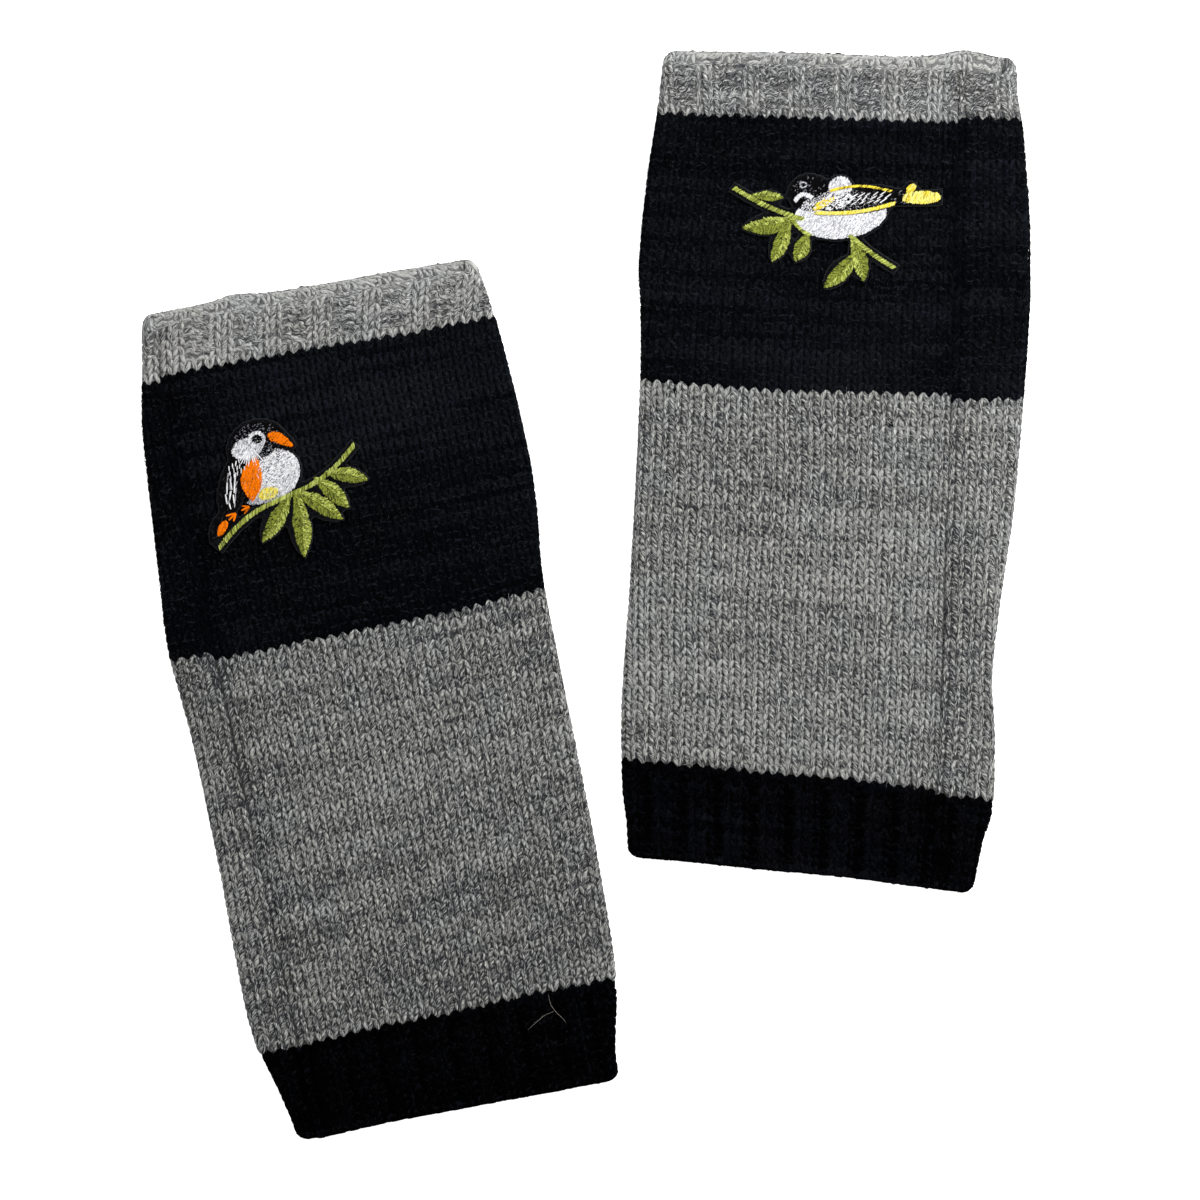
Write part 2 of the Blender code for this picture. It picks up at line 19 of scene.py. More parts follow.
import bpy
import numpy as np
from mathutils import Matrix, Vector


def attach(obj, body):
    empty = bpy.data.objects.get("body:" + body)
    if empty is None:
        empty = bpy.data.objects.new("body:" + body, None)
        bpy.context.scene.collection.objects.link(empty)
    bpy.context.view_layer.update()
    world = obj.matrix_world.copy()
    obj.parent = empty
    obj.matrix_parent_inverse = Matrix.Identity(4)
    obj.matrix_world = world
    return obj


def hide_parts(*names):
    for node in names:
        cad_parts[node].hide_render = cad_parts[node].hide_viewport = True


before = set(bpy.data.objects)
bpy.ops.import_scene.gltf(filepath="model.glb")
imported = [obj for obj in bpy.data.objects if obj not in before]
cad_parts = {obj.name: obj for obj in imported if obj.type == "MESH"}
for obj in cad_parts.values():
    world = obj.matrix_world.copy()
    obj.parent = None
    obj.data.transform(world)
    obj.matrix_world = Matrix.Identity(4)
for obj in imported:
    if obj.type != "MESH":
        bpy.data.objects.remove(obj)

log = logging.getLogger("arm_warmers")

Array = np.ndarray
Point = tuple[float, float]

MM = 0.001
WALL = 2.7  # thickness of the knitting
SLIT = 0.9  # between the front and the back of a tube that lies flat
FOLD = WALL + SLIT / 2  # radius of a side fold
RIM = WALL / 2  # radius of the edge of a cuff
FOLD_ARC = 7.5  # yarn's way round a side fold
CORNER = 4.5  # rounding of the cuffs' corners
CORNER_PULL = 20.0  # how far from the side that rounding pulls the stitches in
FRONT_SHORT = 4.6  # how far the front's upper edge stays below the back's
FRONT_DIP = 1.6  # how much more it stays below, beyond the seam
SEAM_DEPTH = 1.1  # of the trough that the seam lies in
SEAM_WIDTH = 2.4  # half width of that trough
REACH = 70.0  # where a border's left and right heights are given
GUTTER = 0.16  # width of the seam's gutter, in wales
YARN_FLATNESS = 0.83  # height of a yarn as a share of its width
CLOTH_DEPTH = 1.3  # of the cloth below the stitches' tops
FLOOR_DROP = 0.05
EDGE_ROOM = 1.2  # between a cuff's last course and its edge, where the rim's rope lies
SEWING_SHADE = (-2.8, -1.9, -2.8, -1.2)  # painted shade of the seam's sewing, which lies in its trough, in each band, from the wrist up
TROUGH_SHADE = -1.5  # painted shade of the stitches in the seam's trough
TROUGH_REACH = 0.8  # how far that reaches into the knitting, in wales
STREAK = 9.0  # length of a streak in the yarn's shade, in wales
FOLD_PRESS = 0.55  # how far the stitches' relief is pressed out of a side fold
PITCH = 4.55  # a wale's width in the form of a stitch; on a tube it varies along the arm
TUCK_REACH = 1.2  # how far from the seam the wales are drawn into it, in wales
# The wale before a tube's underside and how many follow it, by whether wales are counted to the right
UNDERSIDE = {True: (30, 5), False: (28, 8)}


def smooth_curve(knots_x: Sequence[float], knots_y: Sequence[float], x: Array) -> Array:
    """A smooth curve through knots, held at its end values beyond them.

    Args:
        knots_x: Where the knots lie, in rising order.
        knots_y: The curve's value at each knot.
        x: Where the curve is read.

    Returns:
        The curve's values at x.
    """
    kx, ky = np.asarray(knots_x, float), np.asarray(knots_y, float)
    x = np.clip(x, kx[0], kx[-1])
    i = np.clip(np.searchsorted(kx, x, side="right") - 1, 0, len(kx) - 2)
    before = np.maximum(np.arange(len(kx)) - 1, 0)
    after = np.minimum(np.arange(len(kx)) + 1, len(kx) - 1)
    slope = (ky[after] - ky[before]) / (kx[after] - kx[before])
    span = kx[i + 1] - kx[i]
    f = (x - kx[i]) / span
    value = ky[i] * (1 + 2 * f) * (1 - f) ** 2 + ky[i + 1] * f * f * (3 - 2 * f)
    return value + span * (slope[i] * f * (1 - f) ** 2 - slope[i + 1] * f * f * (1 - f))


def soft_step(x: Array) -> Array:
    """0 below -1, 1 above 1, and a smooth rise between them."""
    f = np.clip((x + 1) / 2, 0, 1)
    return f * f * (3 - 2 * f)


def bell(x: Array) -> Array:
    """1 at 0, with a smooth fall to both sides."""
    return np.exp(-(x**2))


@dataclass(frozen=True)
class Drift:
    """Smooth uneven waves over a surface, as hand and use leave them in cloth."""

    size: float
    strength: float
    seed: int

    def at(self, x: Array, y: Array) -> Array:
        """The waves' height at places of the surface."""
        table = np.random.default_rng(self.seed).uniform(-1, 1, (64, 64))
        u, v = x / self.size, y / self.size
        i, j = np.floor(u).astype(int), np.floor(v).astype(int)
        f, g = u - i, v - j
        f, g = f * f * (3 - 2 * f), g * g * (3 - 2 * g)
        low = table[i & 63, j & 63] * (1 - f) + table[(i + 1) & 63, j & 63] * f
        high = table[i & 63, (j + 1) & 63] * (1 - f) + table[(i + 1) & 63, (j + 1) & 63] * f
        return self.strength * (low * (1 - g) + high * g)


# ---------------------------------------------------------------- materials


class Value:
    """A socket's value in a material, on which Python's operators add Math nodes."""

    def __init__(self, recipe: "Recipe", socket: bpy.types.NodeSocket) -> None:
        """Keeps the recipe that the value belongs to, and its socket."""
        self.recipe = recipe
        self.socket = socket

    def math(self, operation: str, *values: "Value | float") -> "Value":
        """The result of a Math node on this value and others.

        Args:
            operation: The Math node's operation.
            values: Its inputs, in order.

        Returns:
            The node's output.
        """
        sockets = dict(enumerate(values))
        return self.recipe.value("ShaderNodeMath", {"operation": operation}, sockets)

    def __add__(self, other: "Value | float") -> "Value":
        """This value plus another."""
        return self.math("ADD", self, other)

    def __sub__(self, other: "Value | float") -> "Value":
        """This value less another."""
        return self.math("SUBTRACT", self, other)

    def __rsub__(self, other: float) -> "Value":
        """A number less this value."""
        return self.math("SUBTRACT", other, self)

    def __mul__(self, other: "Value | float") -> "Value":
        """This value times another."""
        return self.math("MULTIPLY", self, other)

    def __truediv__(self, other: float) -> "Value":
        """This value over a number."""
        return self.math("DIVIDE", self, other)

    __radd__ = __add__
    __rmul__ = __mul__

    def held(self) -> "Value":
        """This value held between 0 and 1."""
        return self.recipe.value("ShaderNodeClamp", {}, {"Value": self})


class Recipe:
    """A material that is made from nodes."""

    def __init__(self, name: str) -> None:
        """Starts an empty material with one shader."""
        self.material = bpy.data.materials.new(name)
        self.material.use_nodes = True
        self.tree = self.material.node_tree
        self.shader = self.tree.nodes["Principled BSDF"]

    def put(self, socket: bpy.types.NodeSocket, value: object) -> None:
        """Links a value to a socket, or sets the socket to a number, colour or vector."""
        if isinstance(value, Value):
            self.tree.links.new(value.socket, socket)
        else:
            socket.default_value = value

    def node(self, kind: str, settings: dict, sockets: dict) -> bpy.types.Node:
        """Adds a node.

        Args:
            kind: The node's type.
            settings: Its properties, set first. "stops" gives a colour ramp's places and colours.
            sockets: Values or links of its input sockets, by name or number.

        Returns:
            The node.
        """
        made = self.tree.nodes.new(kind)
        for key, setting in settings.items():
            if key == "stops":
                ramp = made.color_ramp
                while len(ramp.elements) < len(setting):
                    ramp.elements.new(1.0)
                for element, (place, colour) in zip(ramp.elements, setting):
                    element.position = place
                    element.color = (*colour, 1.0)
            else:
                setattr(made, key, setting)
        for key, value in sockets.items():
            self.put(made.inputs[key], value)
        return made

    def value(self, kind: str, settings: dict, sockets: dict, output: str | int = 0) -> Value:
        """Adds a node and gives one of its outputs."""
        return Value(self, self.node(kind, settings, sockets).outputs[output])

    def attribute(self, name: str, output: str) -> Value:
        """A named value that the mesh carries."""
        return self.value("ShaderNodeAttribute", {"attribute_name": name}, {}, output)

    def grain(self, place: Value, scale: float, detail: float, roughness: float = 0.5) -> Value:
        """Noise over a place, about 0.5."""
        sockets = {"Vector": place, "Scale": scale, "Detail": detail, "Roughness": roughness}
        return self.value("ShaderNodeTexNoise", {}, sockets, "Fac")

    def blend(self, share: "Value | float", first: object, second: object, kind: str = "MIX") -> Value:
        """Two colours mixed by a share."""
        made = self.node("ShaderNodeMix", {"data_type": "RGBA", "blend_type": kind}, {0: share})
        self.put(made.inputs[6], first)
        self.put(made.inputs[7], second)
        return Value(self, made.outputs[2])

    def finish(self, colour: object, roughness: object, height: Value, depth: float, plain: dict) -> None:
        """Joins the shader's sockets.

        Args:
            colour: Base colour.
            roughness: Roughness.
            height: Relief, from 0 to 1.
            depth: What a relief of 1 measures, in metres.
            plain: Numbers and colours for the shader's other sockets.
        """
        sizes = {"Height": height, "Distance": depth, "Strength": 1.0}
        bump = self.value("ShaderNodeBump", {}, sizes, "Normal")
        self.put(self.shader.inputs["Base Color"], colour)
        self.put(self.shader.inputs["Roughness"], roughness)
        self.put(self.shader.inputs["Normal"], bump)
        for key, setting in plain.items():
            self.shader.inputs[key].default_value = setting


@dataclass(frozen=True)
class YarnFinish:
    """Spun yarn whose light and dark fibres lie in short streaks along its twist."""

    name: str
    dark: tuple[float, float, float]
    light: tuple[float, float, float]
    fleck: tuple[float, float, float]
    contrast: float
    flecks: float
    sheen: float
    bias: float = 0.5
    roughness: float = 0.95
    specular: float = 0.1
    streak: float = 1.5  # length of a streak of fibres
    fibre: float = 0.46  # its width
    slub: float = 0.15  # share of the broader streaks
    painted_side_shade: float = 0.3  # how much darker the yarn's sides are painted, as painted shade where they turn down between the stitches
    twist: float = 0.6  # how far the fibres slant round the yarn as they go along it
    hue: float = 0.014  # how far its colour drifts from warm to cool over the piece

    def make(self) -> bpy.types.Material:
        """The yarn's material."""
        recipe = Recipe(self.name)
        strand = recipe.attribute("strand", "Vector")
        parts = recipe.node("ShaderNodeSeparateXYZ", {}, {0: strand})
        along, around, seed = (Value(recipe, parts.outputs[i]) for i in range(3))
        tone = recipe.attribute("tone", "Fac")
        slant = around + along * self.twist
        near = {"X": slant / self.fibre, "Y": along / self.streak, "Z": seed * 17.3}
        wide = {"X": slant / (self.fibre * 3), "Y": along / (self.streak * 2.2), "Z": seed * 5.1}
        fine = recipe.grain(recipe.value("ShaderNodeCombineXYZ", {}, near), 1.0, 2.0, 0.45)
        slub = recipe.grain(recipe.value("ShaderNodeCombineXYZ", {}, wide), 1.0, 1.0)
        # The yarn's sides, which turn down between the stitches, get painted shade
        deep = ((around * around - 0.6) * 0.5).held()
        mottle = (fine - 0.5) * self.contrast + (slub - 0.5) * (self.contrast * self.slub)
        share = (mottle + tone * 0.16 + self.bias - deep * self.painted_side_shade).held()
        colour = recipe.blend(share, (*self.dark, 1), (*self.light, 1))
        spark = ((fine - self.flecks) * 9.0).held()
        colour = recipe.blend(spark, colour, (*self.fleck, 1))
        broad = recipe.grain(recipe.value("ShaderNodeTexCoord", {}, {}, "Object"), 70.0, 2.0)
        warm, cool = (1 + self.hue, 1, 1 - self.hue, 1), (1 - self.hue, 1, 1 + self.hue * 1.6, 1)
        drift = recipe.blend(((broad - 0.5) * 3.5 + 0.5).held(), warm, cool)
        colour = recipe.blend(1.0, colour, drift, "MULTIPLY")
        plain = {
            "Sheen Weight": self.sheen,
            "Sheen Roughness": 0.6,
            "Sheen Tint": (*self.light, 1),
            "Specular IOR Level": self.specular,
        }
        recipe.finish(colour, self.roughness, fine, 0.0004, plain)
        return recipe.material


@dataclass(frozen=True)
class ClothFinish:
    """The dense inside of the knitting, seen in the gaps between the stitches; it is darker than the yarn, as
    painted shade in those gaps.
    """

    name: str
    dark: tuple[float, float, float]
    light: tuple[float, float, float]

    def make(self) -> bpy.types.Material:
        """The cloth's material."""
        recipe = Recipe(self.name)
        strand = recipe.attribute("strand", "Vector")
        fine = recipe.grain(strand, 1.1, 3.0, 0.6)
        broad = recipe.grain(strand, 0.22, 1.0)
        share = ((fine - 0.5) * 2.2 + (broad - 0.5) + 0.5).held()
        colour = recipe.blend(share, (*self.dark, 1), (*self.light, 1))
        recipe.finish(colour, 0.95, fine, 0.0004, {"Specular IOR Level": 0.02})
        return recipe.material


@dataclass(frozen=True)
class FeltFinish:
    """Pressed felt with a faint nap, its sides painted paler as a highlight on the cut edge."""

    name: str
    dark: tuple[float, float, float]
    light: tuple[float, float, float]
    edge: tuple[float, float, float]

    def make(self) -> bpy.types.Material:
        """The felt's material."""
        recipe = Recipe(self.name)
        place = recipe.value("ShaderNodeTexCoord", {}, {}, "Object")
        fine = recipe.grain(place, 2600.0, 3.0, 0.7)
        broad = recipe.grain(place, 420.0, 2.0)
        share = ((fine - 0.5) * 2.6 + (broad - 0.5) * 1.2 + 0.45).held()
        colour = recipe.blend(share, (*self.dark, 1), (*self.light, 1))
        facing = recipe.value("ShaderNodeNewGeometry", {}, {}, "Normal")
        up = Value(recipe, recipe.node("ShaderNodeSeparateXYZ", {}, {0: facing}).outputs[2])
        # Where the felt turns away from facing up it is painted paler: a painted highlight along its cut edge
        cut = ((1 - up) * 2.2 + (fine - 0.5) * 2.0).held() * 0.8
        colour = recipe.blend(cut, colour, (*self.edge, 1))
        recipe.finish(colour, 0.95, fine, 0.00025, {"Specular IOR Level": 0.03})
        return recipe.material


@dataclass(frozen=True)
class ThreadFinish:
    """Glossy embroidery thread in the colour that each stitch carries."""

    name: str
    variety: float  # how much one stitch differs from the next in tone
    roughness: float = 0.5
    specular: float = 0.12

    def make(self) -> bpy.types.Material:
        """The thread's material."""
        recipe = Recipe(self.name)
        strand = recipe.attribute("strand", "Vector")
        parts = recipe.node("ShaderNodeSeparateXYZ", {}, {0: strand})
        along, around, seed = (Value(recipe, parts.outputs[i]) for i in range(3))
        ply = {"X": (around + along * 0.4) / 0.2, "Y": along / 0.7, "Z": seed * 17.3}
        fine = recipe.grain(recipe.value("ShaderNodeCombineXYZ", {}, ply), 1.0, 2.0)
        dye = recipe.attribute("dye", "Color")
        shade = ((fine - 0.5) * 1.8 + recipe.attribute("tone", "Fac") * self.variety + 0.78).held()
        grey = recipe.value("ShaderNodeCombineColor", {}, {0: shade, 1: shade, 2: shade})
        colour = recipe.blend(1.0, dye, grey, "MULTIPLY")
        recipe.finish(colour, self.roughness, fine, 0.00012, {"Specular IOR Level": self.specular})
        return recipe.material


@dataclass(frozen=True)
class PaperFinish:
    """The plain pale floor."""

    name: str = "pale_paper"
    colour: tuple[float, float, float] = (0.8, 0.8, 0.8)
    glow: float = 0.95

    def make(self) -> bpy.types.Material:
        """The floor's material."""
        recipe = Recipe(self.name)
        place = recipe.value("ShaderNodeTexCoord", {}, {}, "Object")
        glow = {"Emission Color": (1.0, 1.0, 1.0, 1.0), "Emission Strength": self.glow}
        recipe.finish((*self.colour, 1), 0.9, recipe.grain(place, 900.0, 1.0), 0.00001, glow)
        return recipe.material


GREY_YARN = YarnFinish(
    name="grey_yarn",
    dark=(0.02, 0.021, 0.026),
    light=(0.35, 0.352, 0.335),
    fleck=(0.66, 0.66, 0.62),
    contrast=4.7,
    flecks=0.66,
    sheen=0.06,
)
CUFF_YARN = replace(
    GREY_YARN, name="grey_cuff_yarn", dark=(0.032, 0.033, 0.037), light=(0.43, 0.432, 0.415), contrast=3.6
)
BLACK_YARN = YarnFinish(
    name="black_yarn",
    dark=(0.0008, 0.001, 0.0015),
    light=(0.0126, 0.0146, 0.0188),
    fleck=(0.034, 0.037, 0.043),
    contrast=1.8,
    flecks=0.66,
    sheen=0.01,
    bias=0.15,
    specular=0.02,
    streak=0.7,
    fibre=0.42,
    painted_side_shade=0.0,
    hue=0.07,
)
DEEP_BLACK_YARN = YarnFinish(
    name="deep_black_yarn",
    dark=(0.0002, 0.0002, 0.0004),
    light=(0.0075, 0.0082, 0.0112),
    fleck=(0.03, 0.031, 0.036),
    contrast=2.2,
    flecks=0.7,
    sheen=0.005,
    bias=0.2,
    specular=0.012,
    streak=0.7,
    fibre=0.42,
    painted_side_shade=0.0,
    hue=0.06,
)
# The cloths are painted darker than their yarns: painted shade in the gaps between the stitches
GREY_CLOTH = ClothFinish("grey_cloth", (0.02, 0.021, 0.024), (0.1, 0.1, 0.098))
CUFF_CLOTH = ClothFinish("grey_cuff_cloth", (0.05, 0.051, 0.055), (0.22, 0.22, 0.215))
BLACK_CLOTH = ClothFinish("black_cloth", (0.001, 0.001, 0.0015), (0.005, 0.006, 0.008))
PALE_FIBRE = YarnFinish("pale_fibre", (0.2, 0.19, 0.16), (0.4, 0.39, 0.34), (0.5, 0.5, 0.45), 1.0, 0.9, 0.0)
FELT_BLACK = FeltFinish(
    "black_felt", (0.0008, 0.0009, 0.0014), (0.0045, 0.005, 0.0068), (0.035, 0.036, 0.039)
)
BIRD_THREAD = ThreadFinish("bird_thread", 0.16, 0.6, 0.03)
LEAF_THREAD = ThreadFinish("leaf_thread", 0.33)


Finish = YarnFinish | ClothFinish | FeltFinish | ThreadFinish | PaperFinish


class Wardrobe:
    """Materials, each made once and shared by every piece that wears it."""

    made: dict[str, bpy.types.Material] = {}

    @classmethod
    def get(cls, finish: Finish) -> bpy.types.Material:
        """The material of a finish."""
        if finish.name not in cls.made:
            cls.made[finish.name] = finish.make()
        return cls.made[finish.name]


# ---------------------------------------------------------------- the tube's form


@dataclass(frozen=True)
class Section:
    """Where a tube's sides and its seam lie, and its front wales' width, at a height along the arm."""

    along: float
    left: float
    right: float
    seam: float
    pitch: float


@dataclass(frozen=True)
class Border:
    """How far along the arm a band's edge lies at three places, and its step past the seam."""

    left: float
    middle: float
    right: float
    jog: float


@dataclass(frozen=True)
class Swell:
    """A soft rise of the front."""

    across: float
    along: float
    length: float
    width: float
    rise: float


@dataclass(frozen=True)
class Hump:
    """A rise of the back's upper edge."""

    across: float
    width: float
    rise: float


@dataclass(frozen=True)
class Tube:
    """One arm warmer's flattened tube, in its own plane.

    A place on it is given by a wale, counted from the seam across the front's wide side, round a fold, over
    the back, round the other fold and back to the seam; by a height in a band; and by a lift off the skin.
    """

    name: str
    place: Point
    turn: float
    sections: tuple[Section, ...]
    borders: tuple[Border, ...]
    swells: tuple[Swell, ...]
    hump: Hump
    wales: int
    first: float  # where the first wale begins
    tuck: float  # how much of the first wales the seam takes up
    lumps: Drift
    dimples: Drift
    sway: Drift
    ripple: Drift

    @property
    def heading(self) -> float:
        """1 where wales are counted to the right of the seam, and -1 to the left."""
        return -math.copysign(1, self.sections[0].seam)

    @property
    def top_band(self) -> int:
        """The number of the upper cuff."""
        return len(self.borders) - 2

    def row(self, key: str, along: Array) -> Array:
        """A value of the sections at heights along the arm."""
        heights = [section.along for section in self.sections]
        return smooth_curve(heights, [getattr(section, key) for section in self.sections], along)

    def border(self, number: int, x: Array, jog: Array, facing: Array) -> Array:
        """How far along the arm a border lies.

        Args:
            number: The border, from 0 at the lower edge.
            x: Places across the arm.
            jog: Share of the step past the seam that is felt there.
            facing: 1 on the front, and 0 on the back.

        Returns:
            Places along the arm.
        """
        row, reach = self.borders[number], x / REACH
        along = row.middle + (row.right - row.left) / 2 * reach
        along = along + ((row.left + row.right) / 2 - row.middle) * reach**2 + row.jog * jog
        if number == len(self.borders) - 1:
            past = soft_step(-self.heading * (x - self.row("seam", along)) / CORNER)
            along = along + self.hump.rise * bell((x - self.hump.across) / self.hump.width) * (1 - facing)
            along = along - (FRONT_SHORT + FRONT_DIP * past) * facing
        return along

    def swell(self, x: Array, along: Array) -> Array:
        """How much the front rises above a flat one."""
        total = np.zeros_like(x)
        for s in self.swells:
            reach = soft_step(2 * (s.length - np.abs(along - s.along)) / s.length)
            total = total + s.rise * bell((x - s.across) / s.width) * reach
        return total

    def spot(self, band: int, wale: Array, level: Array, lift: Array, over: Array | None = None) -> Array:
        """Places on the tube.

        Args:
            band: The band, from 0 at the lower cuff.
            wale: How far round the tube, in wales from the seam.
            level: Height in the band, from 0 to 1. Over a rim, it is 0 or 1 for the edge that is meant.
            lift: How far outwards from the knitting's skin.
            over: How far past the start of a rim, measured over the edge and down inside, or None.

        Returns:
            Places in metres, in the shared frame, with a last axis of 3.
        """
        wale, level, lift = np.broadcast_arrays(wale, level, lift)
        end = np.where(level > 0.5, 1.0, -1.0)
        edge = self.borders[band], self.borders[band + 1]
        depth = np.zeros_like(lift)
        out = np.ones_like(lift)
        if over is not None:
            bend = np.clip(over / RIM, 0, math.pi)
            inward = np.maximum(over - math.pi * RIM, 0) + np.maximum(-over, 0)
            out = np.cos(bend)
            depth = RIM - (RIM + lift) * np.sin(bend) + inward
            lift = -RIM + (RIM + lift) * out
        sides = []
        for key, jog in (("left", self.heading < 0), ("right", self.heading > 0)):
            low, high = (getattr(e, key) + e.jog * (0 if jog else 1) for e in edge)
            height = low + (high - low) * level - end * depth
            from_end = np.full_like(height, CORNER)
            if band == 0:
                from_end = height - low
            if band == self.top_band:
                from_end = high - height
            cut = np.clip(CORNER - from_end, 0, CORNER)
            sides.append((self.row(key, height), CORNER - np.sqrt(np.maximum(CORNER**2 - cut**2, 0))))
        (left, left_inset), (right, right_inset) = sides
        nominal = edge[0].middle + (edge[1].middle - edge[0].middle) * level - end * depth
        seam, pitch = self.row("seam", nominal), self.row("pitch", nominal)

        flat_left, flat_right, h = left + FOLD, right - FOLD, self.heading
        back = flat_right - flat_left
        wide = (flat_right - seam) if h > 0 else (seam - flat_left)
        whole = 2 * back + 2 * FOLD_ARC
        counted = wale - self.tuck * (1 - np.exp(-np.maximum(wale, 0) / TUCK_REACH))
        turning = (wide + FOLD_ARC / 2) / pitch
        rest = (whole - wide - FOLD_ARC / 2) / (self.wales + GUTTER - self.tuck - turning)
        arc = np.where(counted < turning, counted * pitch, (counted - turning) * rest + turning * pitch)
        ends = wide, wide + FOLD_ARC, wide + FOLD_ARC + back, wide + 2 * FOLD_ARC + back
        folded = np.clip((arc - ends[0]) / FOLD_ARC, 0, 1) + np.clip((arc - ends[2]) / FOLD_ARC, 0, 1)
        centre = seam + h * (np.minimum(arc, ends[0]) - np.clip(arc - ends[1], 0, back))
        centre = centre + h * np.maximum(arc - ends[3], 0)
        angle = math.pi / 2 - h * math.pi * folded
        jog = np.clip((arc - ends[1]) / back, 0, 1)
        facing = np.maximum(np.sin(angle), 0)
        upness = np.abs(np.sin(angle))
        if over is None:
            lift = lift * (1 - FOLD_PRESS * (1 - upness))

        height = nominal
        centre = centre + self.sway.at(arc, height) * upness
        x = centre + (FOLD + lift) * np.cos(angle)
        for side, inset, sign in ((left, left_inset, 1), (right, right_inset, -1)):
            near = np.clip(np.abs(x - side) / CORNER_PULL, 0, 1)
            x = x + sign * inset * (1 - near) ** 2
        low, high = (self.border(number, x, jog, facing) for number in (band, band + 1))
        along = low + (high - low) * level - end * depth + self.ripple.at(arc, height)
        lumps = self.lumps.at(arc, height) + self.dimples.at(arc, height)
        up = FOLD + (FOLD + lift + lumps * out * np.where(angle == 0, 0, 1)) * np.sin(angle)
        up = up + facing * self.swell(x, along)
        up = up - np.where(facing > 0.9, SEAM_DEPTH * np.maximum(out, 0) * bell((x - seam) / SEAM_WIDTH), 0)
        up = np.maximum(up, 0)
        spin = math.radians(self.turn)
        world_x = self.place[0] + x * math.cos(spin) - along * math.sin(spin)
        world_y = self.place[1] + x * math.sin(spin) + along * math.cos(spin)
        return np.stack((world_x, world_y, up), axis=-1) * MM

    def on_front(self, x: float, y: float) -> Point:
        """A place in the shared frame, in millimetres, of a point given in the tube's own plane."""
        spin = math.radians(self.turn)
        return (
            self.place[0] + x * math.cos(spin) - y * math.sin(spin),
            self.place[1] + x * math.sin(spin) + y * math.cos(spin),
        )


# ---------------------------------------------------------------- yarn


class Layer:
    """A mesh in the making, from grids of points."""

    def __init__(self) -> None:
        """Starts with nothing."""
        self.points: list[Array] = []
        self.faces: list[Array] = []
        self.strand: list[Array] = []
        self.tone: list[Array] = []
        self.dye: list[Array] = []
        self.sheets: list[tuple[int, int, int]] = []
        self.count = 0

    def add(self, points: Array, strand: Array, tone: Array, flip: bool, dye: Array | None = None) -> None:
        """Adds grids of quads.

        Args:
            points: Places, as grids x rows x columns x 3.
            strand: Place along and around the yarn and its seed, of the same form.
            tone: Tone of each point, as grids x rows x columns.
            flip: Whether the grids face the other way.
            dye: Colour of each grid, or None.
        """
        n, rows, columns = points.shape[:3]
        index = np.arange(n * rows * columns).reshape(n, rows, columns) + self.count
        corners = [index[:, :-1, :-1], index[:, :-1, 1:], index[:, 1:, 1:], index[:, 1:, :-1]]
        if flip:
            corners.reverse()
        self.faces.append(np.stack(corners, axis=-1).reshape(-1, 4))
        self.points.append(points.reshape(-1, 3))
        self.strand.append(strand.reshape(-1, 3))
        self.tone.append(tone.reshape(-1))
        if dye is not None:
            self.dye.append(np.repeat(dye, rows * columns, axis=0))
        self.sheets.append((n, rows, columns))
        self.count += n * rows * columns

    def atlas(self) -> Array:
        """A map of the whole mesh in which each grid has a cell of its own."""
        side = math.ceil(math.sqrt(sum(n for n, _, _ in self.sheets)))
        cell, spots = 0, []
        for n, rows, columns in self.sheets:
            number = cell + np.arange(n)
            u, v = np.linspace(0.08, 0.92, columns), np.linspace(0.08, 0.92, rows)
            u, v = np.broadcast_arrays(u[None, None, :], v[None, :, None])
            u = (number % side)[:, None, None] + u
            v = (number // side)[:, None, None] + v
            spots.append(np.stack((u, v), axis=-1).reshape(-1, 2) / side)
            cell += n
        return np.concatenate(spots)

    def build(self, name: str, finish: Finish, slot: str) -> bpy.types.Object:
        """The finished piece.

        Args:
            name: Its name.
            finish: What it is dressed in.
            slot: The record's material slot; not used.

        Returns:
            The piece, riding on the one body.
        """
        points, faces = np.concatenate(self.points), np.concatenate(self.faces)
        mesh = bpy.data.meshes.new(name)
        mesh.vertices.add(len(points))
        mesh.vertices.foreach_set("co", points.astype(np.float32).ravel())
        mesh.loops.add(faces.size)
        mesh.loops.foreach_set("vertex_index", faces.astype(np.int32).ravel())
        mesh.polygons.add(len(faces))
        mesh.polygons.foreach_set("loop_start", np.arange(0, faces.size, 4, dtype=np.int32))
        mesh.update(calc_edges=True)
        mesh.validate()
        mesh.attributes.new("strand", "FLOAT_VECTOR", "POINT").data.foreach_set(
            "vector", np.concatenate(self.strand).astype(np.float32).ravel()
        )
        mesh.attributes.new("tone", "FLOAT", "POINT").data.foreach_set(
            "value", np.concatenate(self.tone).astype(np.float32)
        )
        if self.dye:
            mesh.attributes.new("dye", "FLOAT_COLOR", "POINT").data.foreach_set(
                "color", np.concatenate(self.dye).astype(np.float32).ravel()
            )
        spots = self.atlas()[faces.ravel()].astype(np.float32)
        mesh.uv_layers.new(name="OFBake").data.foreach_set("uv", spots.ravel())
        mesh.shade_smooth()
        mesh.materials.append(Wardrobe.get(finish))
        piece = bpy.data.objects.new(name, mesh)
        bpy.context.scene.collection.objects.link(piece)
        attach(piece, "root")
        log.info("%s: %d faces", name, len(faces))
        return piece


@dataclass(frozen=True)
class Lay:
    """How yarn is laid on a tube: across in wales and along in courses or, over a rim, millimetres."""

    tube: Tube
    band: int
    courses: float
    step: float  # millimetres that one unit along measures
    edge: int | None = None  # over the rim of this edge, 0 or 1
    low: float = 0.0  # level of the first course's foot
    high: float = 1.0  # level of the last course's point

    def place(self, wale: Array, along: Array, lift: Array) -> Array:
        """Places on the tube, in metres."""
        if self.edge is None:
            level = self.low + (self.high - self.low) * along / self.courses
            return self.tube.spot(self.band, wale, level, lift)
        return self.tube.spot(self.band, wale, np.full_like(wale, self.edge), lift, along)

    def flip(self) -> bool:
        """Whether faces that run along and then across have to be turned to face out."""
        return (self.tube.heading > 0) == (self.edge == 0)


